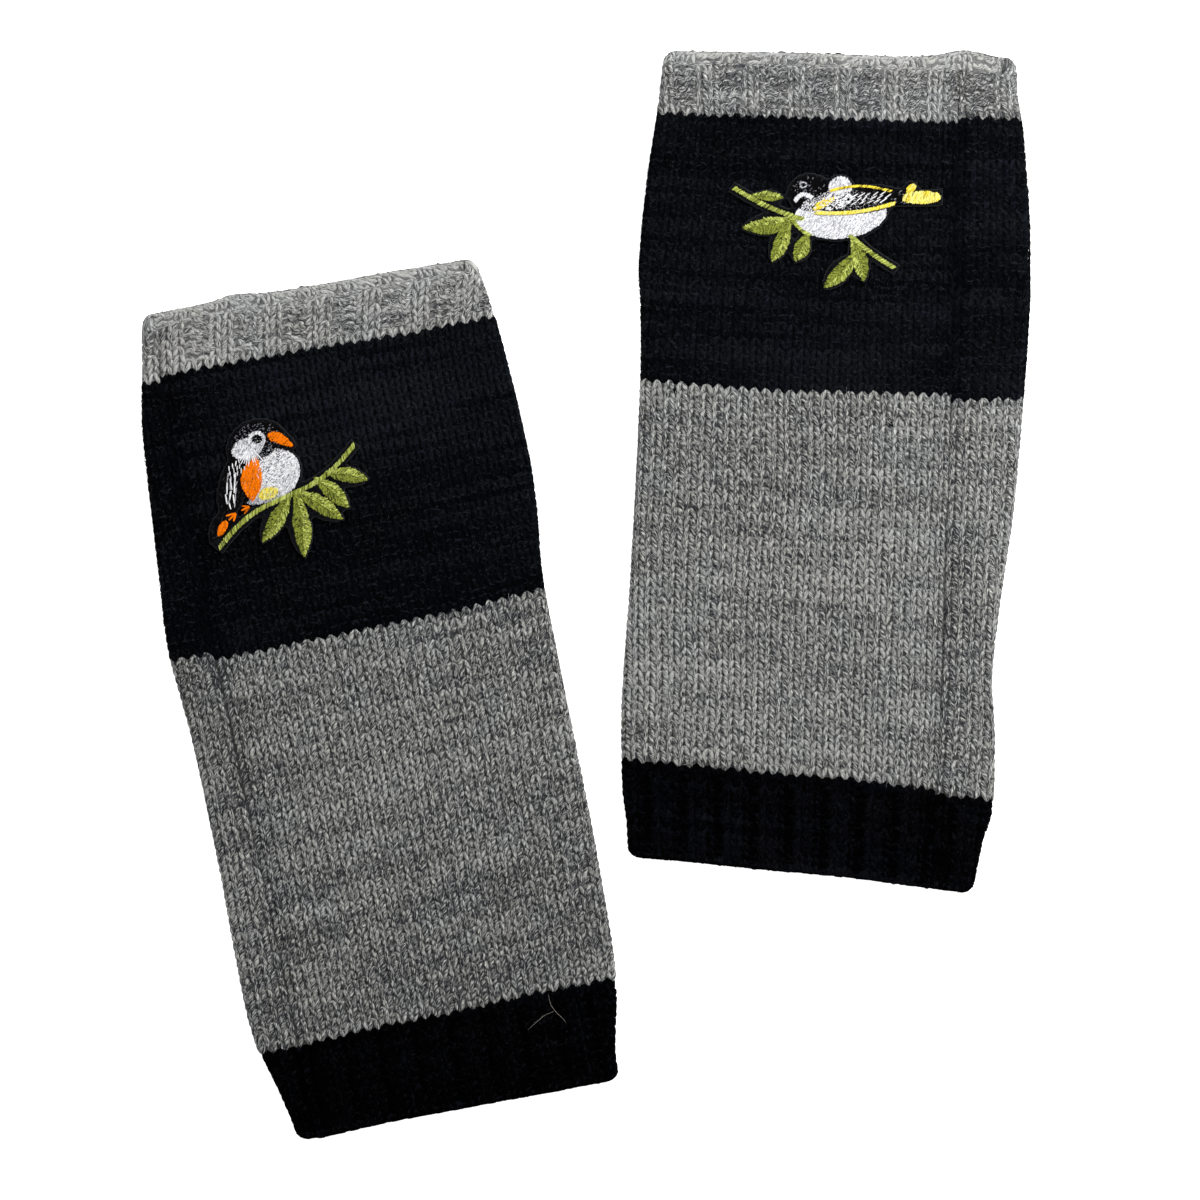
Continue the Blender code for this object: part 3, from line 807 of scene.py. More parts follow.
@dataclass
class Yarns:
    """Lengths of yarn of one kind, each given by as many points."""

    wale: Array
    along: Array
    top: Array
    half: Array
    tone: Array
    spots: int = 4  # points across the yarn
    bend: float = 108.0  # how far round its section the yarn is modelled, to each side, in degrees

    def put_on(self, lay: Lay, layer: Layer, seeds: np.random.Generator) -> None:
        """Adds the yarns' skins to a mesh, laid on a stretch of tube."""
        dx = np.gradient(self.wale, axis=1) * PITCH
        dy = np.gradient(self.along, axis=1) * lay.step
        length = np.hypot(dx, dy) + 1e-6
        angle = np.radians(np.linspace(-self.bend, self.bend, self.spots))
        half = self.half[..., None]
        aside = np.sin(angle) * half
        wale = self.wale[..., None] - (dy / length)[..., None] * aside / PITCH
        along = self.along[..., None] + (dx / length)[..., None] * aside / lay.step
        lift = self.top[..., None] - half * YARN_FLATNESS * (1 - np.cos(angle))
        points = lay.place(wale, along, lift)
        way = np.cumsum(length, axis=1)[..., None] + np.zeros(self.spots)
        seed = seeds.uniform(0, 100, (len(self.wale), 1, 1)) + np.zeros_like(way)
        strand = np.stack((way, angle * half + np.zeros_like(way), seed), axis=-1)
        tone = self.tone[:, None, None] + np.zeros_like(way)
        layer.add(points, strand, tone, lay.flip())


# ---------------------------------------------------------------- stitches


class Stitch(Enum):
    """What a wale shows on the outside."""

    KNIT = 0
    PURL = 1


@dataclass(frozen=True)
class Pattern:
    """The order of knit and purl wales round a band."""

    order: tuple[Stitch, ...]
    shift: int
    ridge: float
    groove: float
    purl_width: float = 1.0  # of a purl wale, as a share of a wale in plain knitting
    purl_shade: float = 0.0  # tone that its shadow adds

    def kind(self, wale: Array) -> Array:
        """The kinds of wales by number, as 0 and 1."""
        return np.array([s.value for s in self.order])[(wale - self.shift) % len(self.order)]

    def pulled(self, wale: Array, reach: Array | float) -> Array:
        """Where places come to lie when the purl wales pull in, by the share of the pull that they feel."""
        knits = sum(s is Stitch.KNIT for s in self.order)
        purls = len(self.order) - knits
        wide = (len(self.order) - purls * self.purl_width) / knits
        phase = (wale - self.shift) % len(self.order)
        after = np.minimum(phase, knits) * wide + np.maximum(phase - knits, 0) * self.purl_width
        return wale + (after - phase) * reach

    def relief(self, wale: Array) -> Array:
        """How far the ribs raise or sink the knitting at a place, counted in wales from the first one."""
        if len(self.order) == 1:
            return np.zeros_like(wale)
        knits = sum(s is Stitch.KNIT for s in self.order)
        phase = (wale - self.shift) % len(self.order)
        crown = self.ridge * np.sin(math.pi * np.clip(phase / knits, 0, 1)) ** 0.7
        sunk = np.clip((phase - knits) / (len(self.order) - knits), 0, 1)
        return crown - self.groove * np.sin(math.pi * sunk) ** 0.7


PLAIN = Pattern((Stitch.KNIT,), 0, 0.0, 0.0)

# One side of a plain stitch, from its point to its foot: across and along, in wales and courses, how near the
# skin it comes, from 0 to 1, and its width in wales.
LEG = np.array(
    (
        (0.03, 1.22, -0.30, 0.20),
        (0.15, 1.00, 0.50, 0.34),
        (0.26, 0.56, 1.00, 0.44),
        (0.38, 0.08, 0.65, 0.39),
        (0.45, -0.22, -0.25, 0.22),
    )
)
LEG_BELOW = LEG[(0, 1, 3, 4), :]  # for the underside, with one point less
# The two arcs of a purl stitch, in the same terms
HEAD = np.array(
    (
        (-0.56, -0.04, 0.35, 0.40),
        (-0.32, 0.22, 0.88, 0.50),
        (0.00, 0.36, 1.00, 0.54),
        (0.32, 0.22, 0.88, 0.50),
        (0.56, -0.04, 0.35, 0.40),
    )
)
FOOT = np.array(
    (
        (-0.06, 1.12, 0.35, 0.40),
        (0.20, 0.88, 0.84, 0.48),
        (0.50, 0.76, 0.98, 0.52),
        (0.80, 0.88, 0.84, 0.48),
        (1.06, 1.12, 0.35, 0.40),
    )
)
SINK = 0.95  # how far yarn at height 0 lies below yarn at height 1
INNER_PAINTED_LIGHT = 2.2  # painted light on the yarn that shows inside a cuff, which lies in the front edge's shade
STRAY_HEIGHT = 6.75  # of loose fibres on the front
# The rows of loops over a rim: how far over it, their slant, their height, and the tone that they add, which
# is painted shade on the outer row and painted light on the inner one
RIM_ROWS = ((0.35, 1.7, -0.15, -0.4), (2.1, 1.5, 0.0, 0.0), (3.9, -1.6, -0.05, INNER_PAINTED_LIGHT))


@dataclass(frozen=True)
class Fuzz:
    """Fine fibres that stand off the yarn."""

    count: int
    tone: float
    spread: float
    length: float = 4.0
    width: float = 0.11
    rise: float = 0.5
    in_rows: bool = False  # whether they lie along the courses, at the stitches' points

    def put_on(self, lay: Lay, layer: Layer, seeds: np.random.Generator) -> None:
        """Scatters the fibres over a stretch of tube."""
        n, run = self.count, np.linspace(-0.5, 0.5, 4)
        length = self.length * seeds.uniform(0.5, 1.5, (n, 1))
        turn = seeds.normal(0, 0.45, (n, 1)) if self.in_rows else seeds.uniform(0, 2 * math.pi, (n, 1))
        turn = turn + 2 * seeds.normal(0, 0.9, (n, 1)) * run
        way = np.stack((np.cos(turn), np.sin(turn)), axis=-1)
        path = np.cumsum(way, axis=1) * (length / 3)[..., None]
        path = path - path.mean(axis=1, keepdims=True)
        half = self.width / 2 * np.array((0.5, 1.0, 1.0, 0.4))[:, None] * np.array((-1.0, 1.0))
        across = path[..., None, 0] - way[..., None, 1] * half
        along = path[..., None, 1] + way[..., None, 0] * half
        wale = seeds.uniform(0.4, lay.tube.wales - 0.4, (n, 1, 1)) + across / PITCH
        course = seeds.uniform(0.2, lay.courses - 0.2, (n, 1, 1))
        if self.in_rows:
            course = np.minimum(np.round(course) + seeds.normal(0, 0.13, (n, 1, 1)), lay.courses - 0.3)
        course = course + along / lay.step
        lift = self.rise * (seeds.uniform(0.1, 1, (n, 1)) * (1 - (2 * run) ** 2) - 0.3)
        lift = np.broadcast_to(lift[..., None], wale.shape)
        points = lay.place(np.clip(wale, 0.05, lay.tube.wales), course, lift)
        seed = np.broadcast_to(seeds.uniform(0, 100, (n, 1, 1)), wale.shape)
        way_along = np.broadcast_to(length[..., None] * run[:, None], wale.shape)
        strand = np.stack((way_along, half + 0 * wale, seed), axis=-1)
        tone = np.broadcast_to(seeds.normal(self.tone, self.spread, (n, 1, 1)), wale.shape)
        layer.add(points, strand, tone, lay.flip())


@dataclass(frozen=True)
class PaintedLight:
    """A part of a band painted paler than the rest, as painted light; with a negative rise, painted darker,
    as painted shade.
    """

    wale: float
    course: float
    wales: float
    courses: float
    rise: float

    def at(self, wale: Array, course: Array) -> Array:
        """The tone that it adds."""
        across, along = (wale - self.wale) / self.wales, (course - self.course) / self.courses
        return self.rise * bell(np.hypot(across, along))


@dataclass
class KnitBand:
    """One knitted band of a tube: its thin cloth and the stitches on it."""

    tube: Tube
    name: str
    number: int
    courses: int
    yarn: YarnFinish
    cloth: ClothFinish
    slot: str
    pattern: Pattern
    fuzz: Fuzz
    flat: Point  # its cut round and along the arm, in metres
    seed: int
    shade: float = 0.0
    painted_lights: tuple[PaintedLight, ...] = ()
    layer: Layer = field(default_factory=Layer)

    def __post_init__(self) -> None:
        """Works out a course's height and sets the seeds."""
        low, high = self.tube.borders[self.number], self.tube.borders[self.number + 1]
        height = high.middle - low.middle
        first, last = self.number == 0, self.number == self.tube.top_band
        room = EDGE_ROOM / height
        self.step = (height - EDGE_ROOM * (first or last) - FRONT_SHORT * last) / self.courses
        ends = (room if first else 0.0, 1 - room if last else 1.0)
        self.lay = Lay(self.tube, self.number, self.courses, self.step, None, *ends)
        self.seeds = np.random.default_rng(self.seed)

    def tones(self, wale: Array, course: Array) -> Array:
        """A tone for each stitch: streaks along the courses, slow drifts, painted light and shade, and the
        trough's painted shade.
        """
        streaks = Drift(STREAK, 1.2, self.seed + 5).at(wale + 0.0, course * STREAK * 7)
        slow = Drift(14.0, 0.6, self.seed + 6).at(wale + 0.0, course + 0.0)
        glow = sum(glow.at(wale, course) for glow in self.painted_lights)
        # Painted shade in the seam's trough, fading over the wales beside it
        from_seam = np.minimum(wale + 0.5, self.tube.wales - 0.5 - wale)
        trough = TROUGH_SHADE * np.exp(-from_seam / TROUGH_REACH)
        return streaks + slow + glow + trough + self.shade + self.seeds.normal(0, 0.25, wale.shape)

    def under(self, wale: Array) -> Array:
        """Whether wales lie on the underside."""
        before, after = UNDERSIDE[self.tube.heading > 0]
        return (wale > before) & (wale < self.tube.wales - after)

    def ribbed(self, wale: Array, course: Array | float, lay: Lay) -> Array:
        """Where even wales, counted from the first one, come to lie between the ribs of this band."""
        if len(self.pattern.order) == 1:
            return self.tube.first + wale
        from_plain = course if self.number else self.courses - course
        reach = 1.0 if lay.edge is not None else soft_step(from_plain - 1.2)
        return self.tube.first + self.pattern.pulled(wale, reach)

    def legs(
        self,
        wale: Array,
        course: Array,
        path: Array,
        lay: Lay,
        relief: float = 1.0,
        down: bool = False,
        painted_shading: float = 0.0,
    ) -> None:
        """Lays both sides of plain stitches.

        Args:
            wale: Each stitch's wale.
            course: Its course, or over a rim its place along.
            path: One side's way.
            lay: Where they are laid.
            relief: Share of the ribs' relief that they follow.
            down: Whether the stitch's point lies towards the smaller places along.
            painted_shading: Tone to add: painted light where it is positive, and painted shade where it is
                negative.
        """
        if not len(wale):
            return
        unit = 1.0 if lay.edge is None else self.step
        for sign in (-1, 1):
            n = len(wale)
            lean = self.seeds.normal(0, 0.025, (n, 1))
            x = wale[:, None] + 0.5 + sign * path[:, 0] * (1 + self.seeds.normal(0, 0.06, (n, 1))) + lean
            rise = path[:, 1] + self.seeds.normal(0, 0.05, (n, 1))
            y = course[:, None] + unit * ((1 - rise) if down else rise)
            near = path[:, 2] + self.seeds.normal(0, 0.07, (n, 1))
            top = -(1 - near) * SINK + relief * self.pattern.relief(x)
            half = path[:, 3] / 2 * PITCH * (1 + self.seeds.normal(0, 0.05, (n, 1)))
            tone = self.tones(wale, course) + sign * 0.1 + painted_shading
            yarns = Yarns(self.ribbed(x, y, lay), y, top, half, tone)
            yarns.put_on(lay, self.layer, self.seeds)

    def arcs(self, wale: Array, course: Array, lay: Lay, relief: float, painted_shading: float) -> None:
        """Lays both arcs of purl stitches, with the same arguments as legs, and the tone to add: painted
        light where it is positive, and painted shade where it is negative.
        """
        if not len(wale):
            return
        unit = 1.0 if lay.edge is None else self.step
        for path in (HEAD, FOOT):
            n = len(wale)
            x = wale[:, None] + 0.5 + path[:, 0] * (1 + self.seeds.normal(0, 0.05, (n, 1)))
            slant = self.seeds.normal(0, 0.3, (n, 1)) * path[:, 0]
            y = course[:, None] + unit * (path[:, 1] + slant + self.seeds.normal(0, 0.07, (n, 1)))
            if lay.edge is None:
                y = np.clip(y, -0.1, self.courses + 0.1)
            near = path[:, 2] + self.seeds.normal(0, 0.09, (n, 1))
            top = -(1 - near) * SINK + relief * self.pattern.relief(x)
            half = path[:, 3] / 2 * PITCH * (1 + self.seeds.normal(0, 0.07, (n, 1)))
            yarns = Yarns(self.ribbed(x, y, lay), y, top, half, self.tones(wale, course) + painted_shading)
            yarns.put_on(lay, self.layer, self.seeds)

    def rim(self, edge: int) -> None:
        """Lays the slanting loops that close the knitting's edge, and the first courses inside it."""
        lay = Lay(self.tube, self.number, self.courses, 1.0, edge)
        run = np.linspace(-0.5, 0.5, 5)
        for row, (over, slant, top, painted_shading) in enumerate(RIM_ROWS):
            loop = np.arange(2 * self.tube.wales) / 2 + 0.17 * row
            n = len(loop)
            x = self.tube.first + loop[:, None] + 0.95 * run + self.seeds.normal(0, 0.06, (n, 1))
            y = over + slant * run * self.seeds.uniform(0.6, 1.3, (n, 1))
            y = y + self.seeds.normal(0, 0.16, (n, 1))
            relieved = self.pattern.relief(x - self.tube.first) * math.cos(over / RIM) * 0.5
            height = top + np.array((-0.6, -0.08, 0, -0.08, -0.6)) + relieved
            height = height + self.seeds.normal(0, 0.08, (n, 1))
            thick = 0.95 * np.array((0.7, 0.95, 1, 0.95, 0.7)) * (1 + self.seeds.normal(0, 0.07, (n, 1)))
            tone = self.tones(loop, loop * 0) + painted_shading
            Yarns(x, y, height, thick, tone).put_on(lay, self.layer, self.seeds)
        wale = np.arange(self.tube.wales)
        for course in range(3):
            start = np.full(len(wale), math.pi * RIM + 0.2 + course * self.step)
            knit = self.pattern.kind(wale) == Stitch.KNIT.value
            self.legs(wale[~knit], start[~knit], LEG, lay, -0.3, edge == 1, INNER_PAINTED_LIGHT)
            self.arcs(wale[knit], start[knit], lay, -0.3, INNER_PAINTED_LIGHT)

    def sewing(self) -> None:
        """Lays the seam's cross stitches in its trough."""
        course = np.arange(self.courses) + 0.5
        n = len(course)
        x = np.linspace(-0.3, 0.3, 4) + self.seeds.normal(0, 0.03, (n, 1))
        y = course[:, None] + np.linspace(-0.25, 0.25, 4) + self.seeds.normal(0, 0.08, (n, 1))
        top = np.array((-2.0, -1.5, -1.5, -2.0)) + np.zeros((n, 1))
        half = np.full((n, 4), 0.6)
        # The sewing is painted dark: painted shade of the trough it lies in
        tone = self.seeds.normal(SEWING_SHADE[self.number], 0.6, n)
        Yarns(x, y, top, half, tone).put_on(self.lay, self.layer, self.seeds)

    def knit(self) -> bpy.types.Object:
        """Every stitch of the band, as one piece."""
        wale, course = (g.ravel() for g in np.meshgrid(np.arange(self.tube.wales), np.arange(self.courses)))
        knit = self.pattern.kind(wale) == Stitch.KNIT.value
        knit |= (course == 0) if self.number else (course == self.courses - 1)
        for below, path in ((False, LEG), (True, LEG_BELOW)):
            chosen = self.under(wale) == below
            self.legs(wale[chosen & knit], course[chosen & knit] + 0.0, path, self.lay)
        self.arcs(wale[~knit], course[~knit] + 0.0, self.lay, 1.0, self.pattern.purl_shade)
        self.sewing()
        self.fuzz.put_on(self.lay, self.layer, self.seeds)
        if self.number == 0:
            self.rim(0)
        if self.number == self.tube.top_band:
            self.rim(1)
        return self.layer.build(f"{self.tube.name}_{self.name}_stitches", self.yarn, self.slot)

    def weave_cloth(self) -> bpy.types.Object:
        """The thin cloth under the stitches, turned in over a cuff's edge."""
        cloth = Layer()
        wale = np.linspace(0, self.tube.wales + GUTTER, 2 * self.tube.wales + 1)
        relief = self.pattern.relief(wale - self.tube.first)
        rows, ways = [], []
        for y in range(self.courses + 1):
            across = np.clip(self.ribbed(wale - self.tube.first, float(y), self.lay), 0, wale[-1])
            rows.append(self.lay.place(across, np.full_like(wale, y), relief - CLOTH_DEPTH))
            ways.append(y * self.step)
        for number, edge in ((0, 0), (self.tube.top_band, 1)):
            if self.number != number:
                continue
            lay = Lay(self.tube, self.number, self.courses, 1.0, edge)
            turned = [-0.4, 0.3, 1.1, 2.1, 3.1, 3.9, 5.0, 8.0, 12.0, 16.0]
            more = []
            for y in turned:
                out = math.cos(min(max(y / RIM, 0), math.pi))
                across = np.clip(self.ribbed(wale - self.tube.first, y, lay), 0, wale[-1])
                more.append(lay.place(across, np.full_like(wale, y), relief * out * 0.5 - 0.6))
            if edge == 1:
                rows, ways = rows[:-1] + more, ways[:-1] + [ways[-1] + y for y in turned]
            else:
                rows, ways = more[::-1] + rows[1:], [-y for y in turned[::-1]] + ways[1:]
        points = np.stack(rows)[None]
        around = np.broadcast_to(wale * PITCH, points.shape[:3])
        along = np.broadcast_to(np.array(ways)[:, None], points.shape[1:3])[None]
        strand = np.stack((around, along, np.zeros_like(around)), axis=-1)
        cloth.add(points, strand, np.zeros(points.shape[:3]), self.tube.heading < 0)
        return cloth.build(f"{self.tube.name}_{self.name}_cloth", self.cloth, self.slot)

    def build(self) -> None:
        """Makes the band's two pieces and hides the band's solid."""
        stitches, cloth = self.knit(), self.weave_cloth()
        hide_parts(f"{self.tube.name}_{self.name}")


# ---------------------------------------------------------------- embroidery


class Dye(Enum):
    """Colours of embroidery thread."""

    INK = (0.0018, 0.0018, 0.0022)
    # Grey specks among black thread, as painted sheen
    INK_SHEEN = (0.022, 0.022, 0.024)
    WHITE = (0.86, 0.86, 0.88)
    PALE = (0.56, 0.56, 0.61)
    GREY = (0.2, 0.2, 0.23)
    ORANGE = (1.0, 0.215, 0.002)
    YELLOW = (0.92, 0.72, 0.06)
    STRAW = (0.88, 0.82, 0.24)
    LEAF = (0.25, 0.29, 0.036)
    LIME = (0.52, 0.58, 0.14)
    OLIVE = (0.11, 0.135, 0.016)


@dataclass(frozen=True)
class Filling:
    """How a shape is stitched: its thread, the stitches' direction, and a second thread's share in it."""

    dye: Dye
    turn: float
    second: Dye | None = None
    share: float = 0.0
    length: float = 1.0
    layer: int = 0


@dataclass(frozen=True)
class Oval:
    """A stitched oval, with its middle, its length and width, and the turn of its length."""

    x: float
    y: float
    length: float
    width: float
    turn: float
    filling: Filling
    steps: int = 32

    def outline(self) -> Array:
        """Points round the oval."""
        angle = np.linspace(0, math.tau, self.steps, endpoint=False)
        along, across = np.cos(angle) * self.length / 2, np.sin(angle) * self.width / 2
        turn = math.radians(self.turn)
        x = self.x + along * math.cos(turn) - across * math.sin(turn)
        y = self.y + along * math.sin(turn) + across * math.cos(turn)
        return np.stack((x, y), axis=1)


@dataclass(frozen=True)
class Plume:
    """A stitched feather shape, pointed at both ends."""

    base: Point
    tip: Point
    width: float
    filling: Filling
    bow: float = 0.0
    lean: float = 1.15  # over 1 moves its widest part towards its tip, and under 1 towards its base
    steps: int = 14

    def outline(self) -> Array:
        """Points round the plume."""
        base, tip = np.array(self.base), np.array(self.tip)
        share = np.linspace(0, 1, self.steps)[:, None]
        left = np.array((base[1] - tip[1], tip[0] - base[0]))
        half = (self.width / 2 * np.sin(math.pi * share**self.lean) ** 0.85 + 0.2) / np.hypot(*left)
        spine = base + (tip - base) * share + left * self.bow * np.sin(math.pi * share)
        return np.concatenate((spine + left * half, (spine - left * half)[::-1]))


@dataclass(frozen=True)
class Stem:
    """A line of close stitches laid side by side, which bows and waves by shares of its length."""

    start: Point
    end: Point
    bow: float
    wave: float
    width: float
    dye: Dye
    second: Dye | None = None
    share: float = 0.0
    slant: float = 35.0
    layer: int = 1

    def path(self, share: Array) -> Array:
        """Places on the stem at shares of its way."""
        start, end = np.array(self.start), np.array(self.end)
        left = np.array((start[1] - end[1], end[0] - start[0]))
        swing = self.bow * np.sin(math.pi * share) + self.wave * np.sin(math.tau * share)
        return start + (end - start) * share[:, None] + left * swing[:, None]


@dataclass(frozen=True)
class Blade:
    """A stitched leaf, from its base to its tip."""

    base: Point
    tip: Point
    width: float
    layer: int = 0
    lit: int = 1  # 1 where the half painted paler, as its sheen, lies to the left of the way to the tip, or -1
    bow: float = 0.03


@dataclass(frozen=True)
class Fan:
    """Long single stitches that spread from round a middle, such as a ruff of feathers."""

    x: float
    y: float
    near: float
    far: float
    first: float  # degrees to the first stitch
    last: float
    count: int
    dye: Dye
    width: float = 0.5
    layer: int = 3


@dataclass(frozen=True)
class Bars:
    """Short stitches in rows along a wing, from one place to another."""

    start: Point
    end: Point
    spread: float  # from the outer row to the inner one
    rows: int
    count: int
    length: float
    slant: float
    dye: Dye
    width: float = 0.46
    layer: int = 3


Motif = Oval | Plume | Stem | Blade | Fan | Bars


@dataclass
class Threads:
    """The stitches of one embroidered piece."""

    name: str
    node: str
    finish: ThreadFinish
    slot: str
    centre: Point
    base: float
    seed: int
    gap: float = 0.33  # from one stitch to the next
    thick: float = 0.24  # half of a thread's width

    def __post_init__(self) -> None:
        """Sets the seeds and an empty list of stitches."""
        self.seeds = np.random.default_rng(self.seed)
        self.stitches: list[tuple[float, ...]] = []

    def stitch(self, start: Array, end: Array, dye: Dye, layer: int, half: float | None = None) -> None:
        """Adds one stitch between two points."""
        self.stitches.append((*start, *end, *dye.value, layer, half or self.thick))

    def choose(self, first: Dye, second: Dye | None, share: float) -> Dye:
        """One of two threads, at random in the given share."""
        return second if second is not None and self.seeds.random() < share else first

    def fill(self, outline: Array, filling: Filling) -> None:
        """Fills an outline with rows of short stitches."""
        turn = math.radians(filling.turn)
        way, side = np.array((math.cos(turn), math.sin(turn))), np.array((-math.sin(turn), math.cos(turn)))
        u, v = outline @ way, outline @ side
        after = np.roll(np.arange(len(u)), -1)
        for number, height in enumerate(np.arange(v.min() + self.gap / 2, v.max(), self.gap)):
            crossed = (v > height) != (v[after] > height)
            share = (height - v[crossed]) / (v[after][crossed] - v[crossed])
            places = np.sort(u[crossed] + share * (u[after][crossed] - u[crossed]))
            for low, high in zip(places[::2], places[1::2]):
                self.row(filling, low, high, height, number, way, side)

    def row(
        self, filling: Filling, low: float, high: float, height: float, number: int, way: Array, side: Array
    ) -> None:
        """Stitches one row of a filling, from low to high."""
        low, high = low - self.seeds.uniform(0, 0.3), high + self.seeds.uniform(0, 0.3)
        place = low
        first = filling.length * (0.35 + 0.33 * (number % 3))
        while place < high - 0.2:
            length = first if place == low else filling.length * self.seeds.uniform(0.75, 1.25)
            end = min(place + length, high)
            if high - end < 0.6:
                end = high
            jitter = self.seeds.normal(0, 0.1, 4)
            a = way * (place - 0.12 + jitter[0]) + side * (height + jitter[1])
            b = way * (end + 0.12 + jitter[2]) + side * (height + jitter[3])
            self.stitch(a, b, self.choose(filling.dye, filling.second, filling.share), filling.layer)
            place = end

    def shape(self, shape: Oval | Plume) -> None:
        """Fills an oval or a plume."""
        self.fill(shape.outline(), shape.filling)

    def stem(self, stem: Stem) -> None:
        """Lays a line of slanting stitches across a stem's way."""
        path = stem.path(np.linspace(0, 1, 200))
        run = np.concatenate(((0,), np.cumsum(np.hypot(*np.diff(path, axis=0).T))))
        for place in np.arange(0.1, run[-1], self.gap * 0.9):
            places = (place, place + 0.3, place - 0.3)
            at, ahead, behind = (np.array([np.interp(p, run, path[:, i]) for i in (0, 1)]) for p in places)
            way = (ahead - behind) / (np.hypot(*(ahead - behind)) + 1e-6)
            across = math.radians(90 - stem.slant + self.seeds.normal(0, 7))
            turned = complex(*way) * complex(math.cos(across), math.sin(across))
            reach = np.array((turned.real, turned.imag)) * stem.width / 2 * self.seeds.uniform(0.82, 1.18)
            self.stitch(at - reach, at + reach, self.choose(stem.dye, stem.second, stem.share), stem.layer)

    def blade(self, leaf: Blade) -> None:
        """Fills a leaf with short slanting stitches, with painted sheen on one half and painted shade on the
        other.
        """
        base, tip = np.array(leaf.base), np.array(leaf.tip)
        length = np.hypot(*(tip - base))
        way = (tip - base) / length
        side = np.array((-way[1], way[0]))
        share = np.linspace(0, 1, 14)
        half = leaf.width / 2 * np.sin(math.pi * share**1.15) ** 0.9 + 0.3 * (1 - share**4) + 0.05
        bow = leaf.bow * length * np.sin(math.pi * share)
        spine = base + (tip - base) * share[:, None] + side * bow[:, None]
        turn = math.degrees(math.atan2(way[1], way[0]))
        # More lime thread on the lit half is painted sheen, and more olive thread on the other half is
        # painted shade
        for sign, second, part in ((leaf.lit, Dye.LIME, 0.45), (-leaf.lit, Dye.OLIVE, 0.25)):
            edge = spine + sign * side * (half * self.seeds.uniform(0.88, 1.1, len(half)))[:, None]
            filling = Filling(Dye.LEAF, turn + sign * 50, second, part, 0.8, leaf.layer)
            self.fill(np.concatenate((spine, edge[::-1])), filling)
        ends = tuple(base + way * 2), tuple(tip - way * 3)
        self.stem(Stem(*ends, leaf.bow, 0, 0.45, Dye.OLIVE, Dye.LEAF, 0.4, 60, leaf.layer + 1))

    def fan(self, fan: Fan) -> None:
        """Lays a ruff of long stitches."""
        for angle in np.radians(np.linspace(fan.first, fan.last, fan.count)):
            way = np.array((math.cos(angle), math.sin(angle)))
            far = fan.far * self.seeds.uniform(0.82, 1.1)
            middle = np.array((fan.x, fan.y))
            self.stitch(middle + way * fan.near, middle + way * far, fan.dye, fan.layer, fan.width / 2)

    def bars(self, bars: Bars) -> None:
        """Lays rows of short stitches along a wing."""
        start, end = np.array(bars.start), np.array(bars.end)
        way = (end - start) / np.hypot(*(end - start))
        inward = np.array((-way[1], way[0])) * bars.spread
        slant = math.radians(bars.slant) + math.atan2(way[1], way[0])
        for row in range(bars.rows):
            for number in range(bars.count):
                share = (number + 0.5 * (row % 2) + self.seeds.uniform(-0.15, 0.15)) / bars.count
                at = start + (end - start) * share + inward * row / max(bars.rows - 1, 1)
                angle = slant + self.seeds.normal(0, 0.15)
                reach = np.array((math.cos(angle), math.sin(angle))) * bars.length / 2
                reach = reach * self.seeds.uniform(0.75, 1.15)
                self.stitch(at - reach, at + reach, bars.dye, bars.layer, bars.width / 2)

    def work(self, shapes: Sequence[Motif]) -> None:
        """Stitches every shape in its order."""
        ways = {
            Oval: self.shape,
            Plume: self.shape,
            Stem: self.stem,
            Blade: self.blade,
            Fan: self.fan,
            Bars: self.bars,
        }
        for shape in shapes:
            ways[type(shape)](shape)

    def build(self) -> bpy.types.Object:
        """The embroidered piece, which stands for its solid."""
        rows = np.array(self.stitches)
        start, end, dye, level, half = rows[:, 0:2], rows[:, 2:4], rows[:, 4:7], rows[:, 7], rows[:, 8]
        n, rings, spots = len(rows), 3, 4
        share = np.linspace(0, 1, rings)[None, :, None]
        length = np.hypot(*(end - start).T)[:, None] + 1e-6
        way = (end - start) / length
        side = np.stack((-way[:, 1], way[:, 0]), axis=1)
        angle = np.radians(np.linspace(-88, 88, spots))
        taper = np.array((0.7, 1.0, 0.7))[None, :, None]
        width = half[:, None, None] * taper
        middle = start[:, None, :] + (end - start)[:, None, :] * share
        flat = middle[:, :, None, :] + side[:, None, None, :] * (np.sin(angle) * width)[..., None]
        crown = np.array((-0.22, 0.0, -0.22))[None, :, None]
        top = self.base + 0.34 + level * 0.15 + self.seeds.normal(0, 0.04, n)
        up = top[:, None, None] + crown - width * 0.9 * (1 - np.cos(angle))
        xyz = np.concatenate((flat, np.broadcast_to(up[..., None], (n, rings, spots, 1))), axis=-1)
        xyz = (xyz + np.array((*self.centre, 0.0))) * MM
        along = share * length[:, :, None] + np.zeros(spots)
        around = angle * width
        seed = np.broadcast_to(self.seeds.uniform(0, 100, n)[:, None, None], along.shape)
        layer = Layer()
        tone = np.broadcast_to(self.seeds.normal(0, 1, n)[:, None, None], along.shape)
        paint = np.concatenate((dye, np.ones((n, 1))), axis=1)
        layer.add(xyz, np.stack((along, around, seed), axis=-1), tone, True, paint)
        piece = layer.build(self.name, self.finish, self.slot)
        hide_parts(self.node)
        return piece


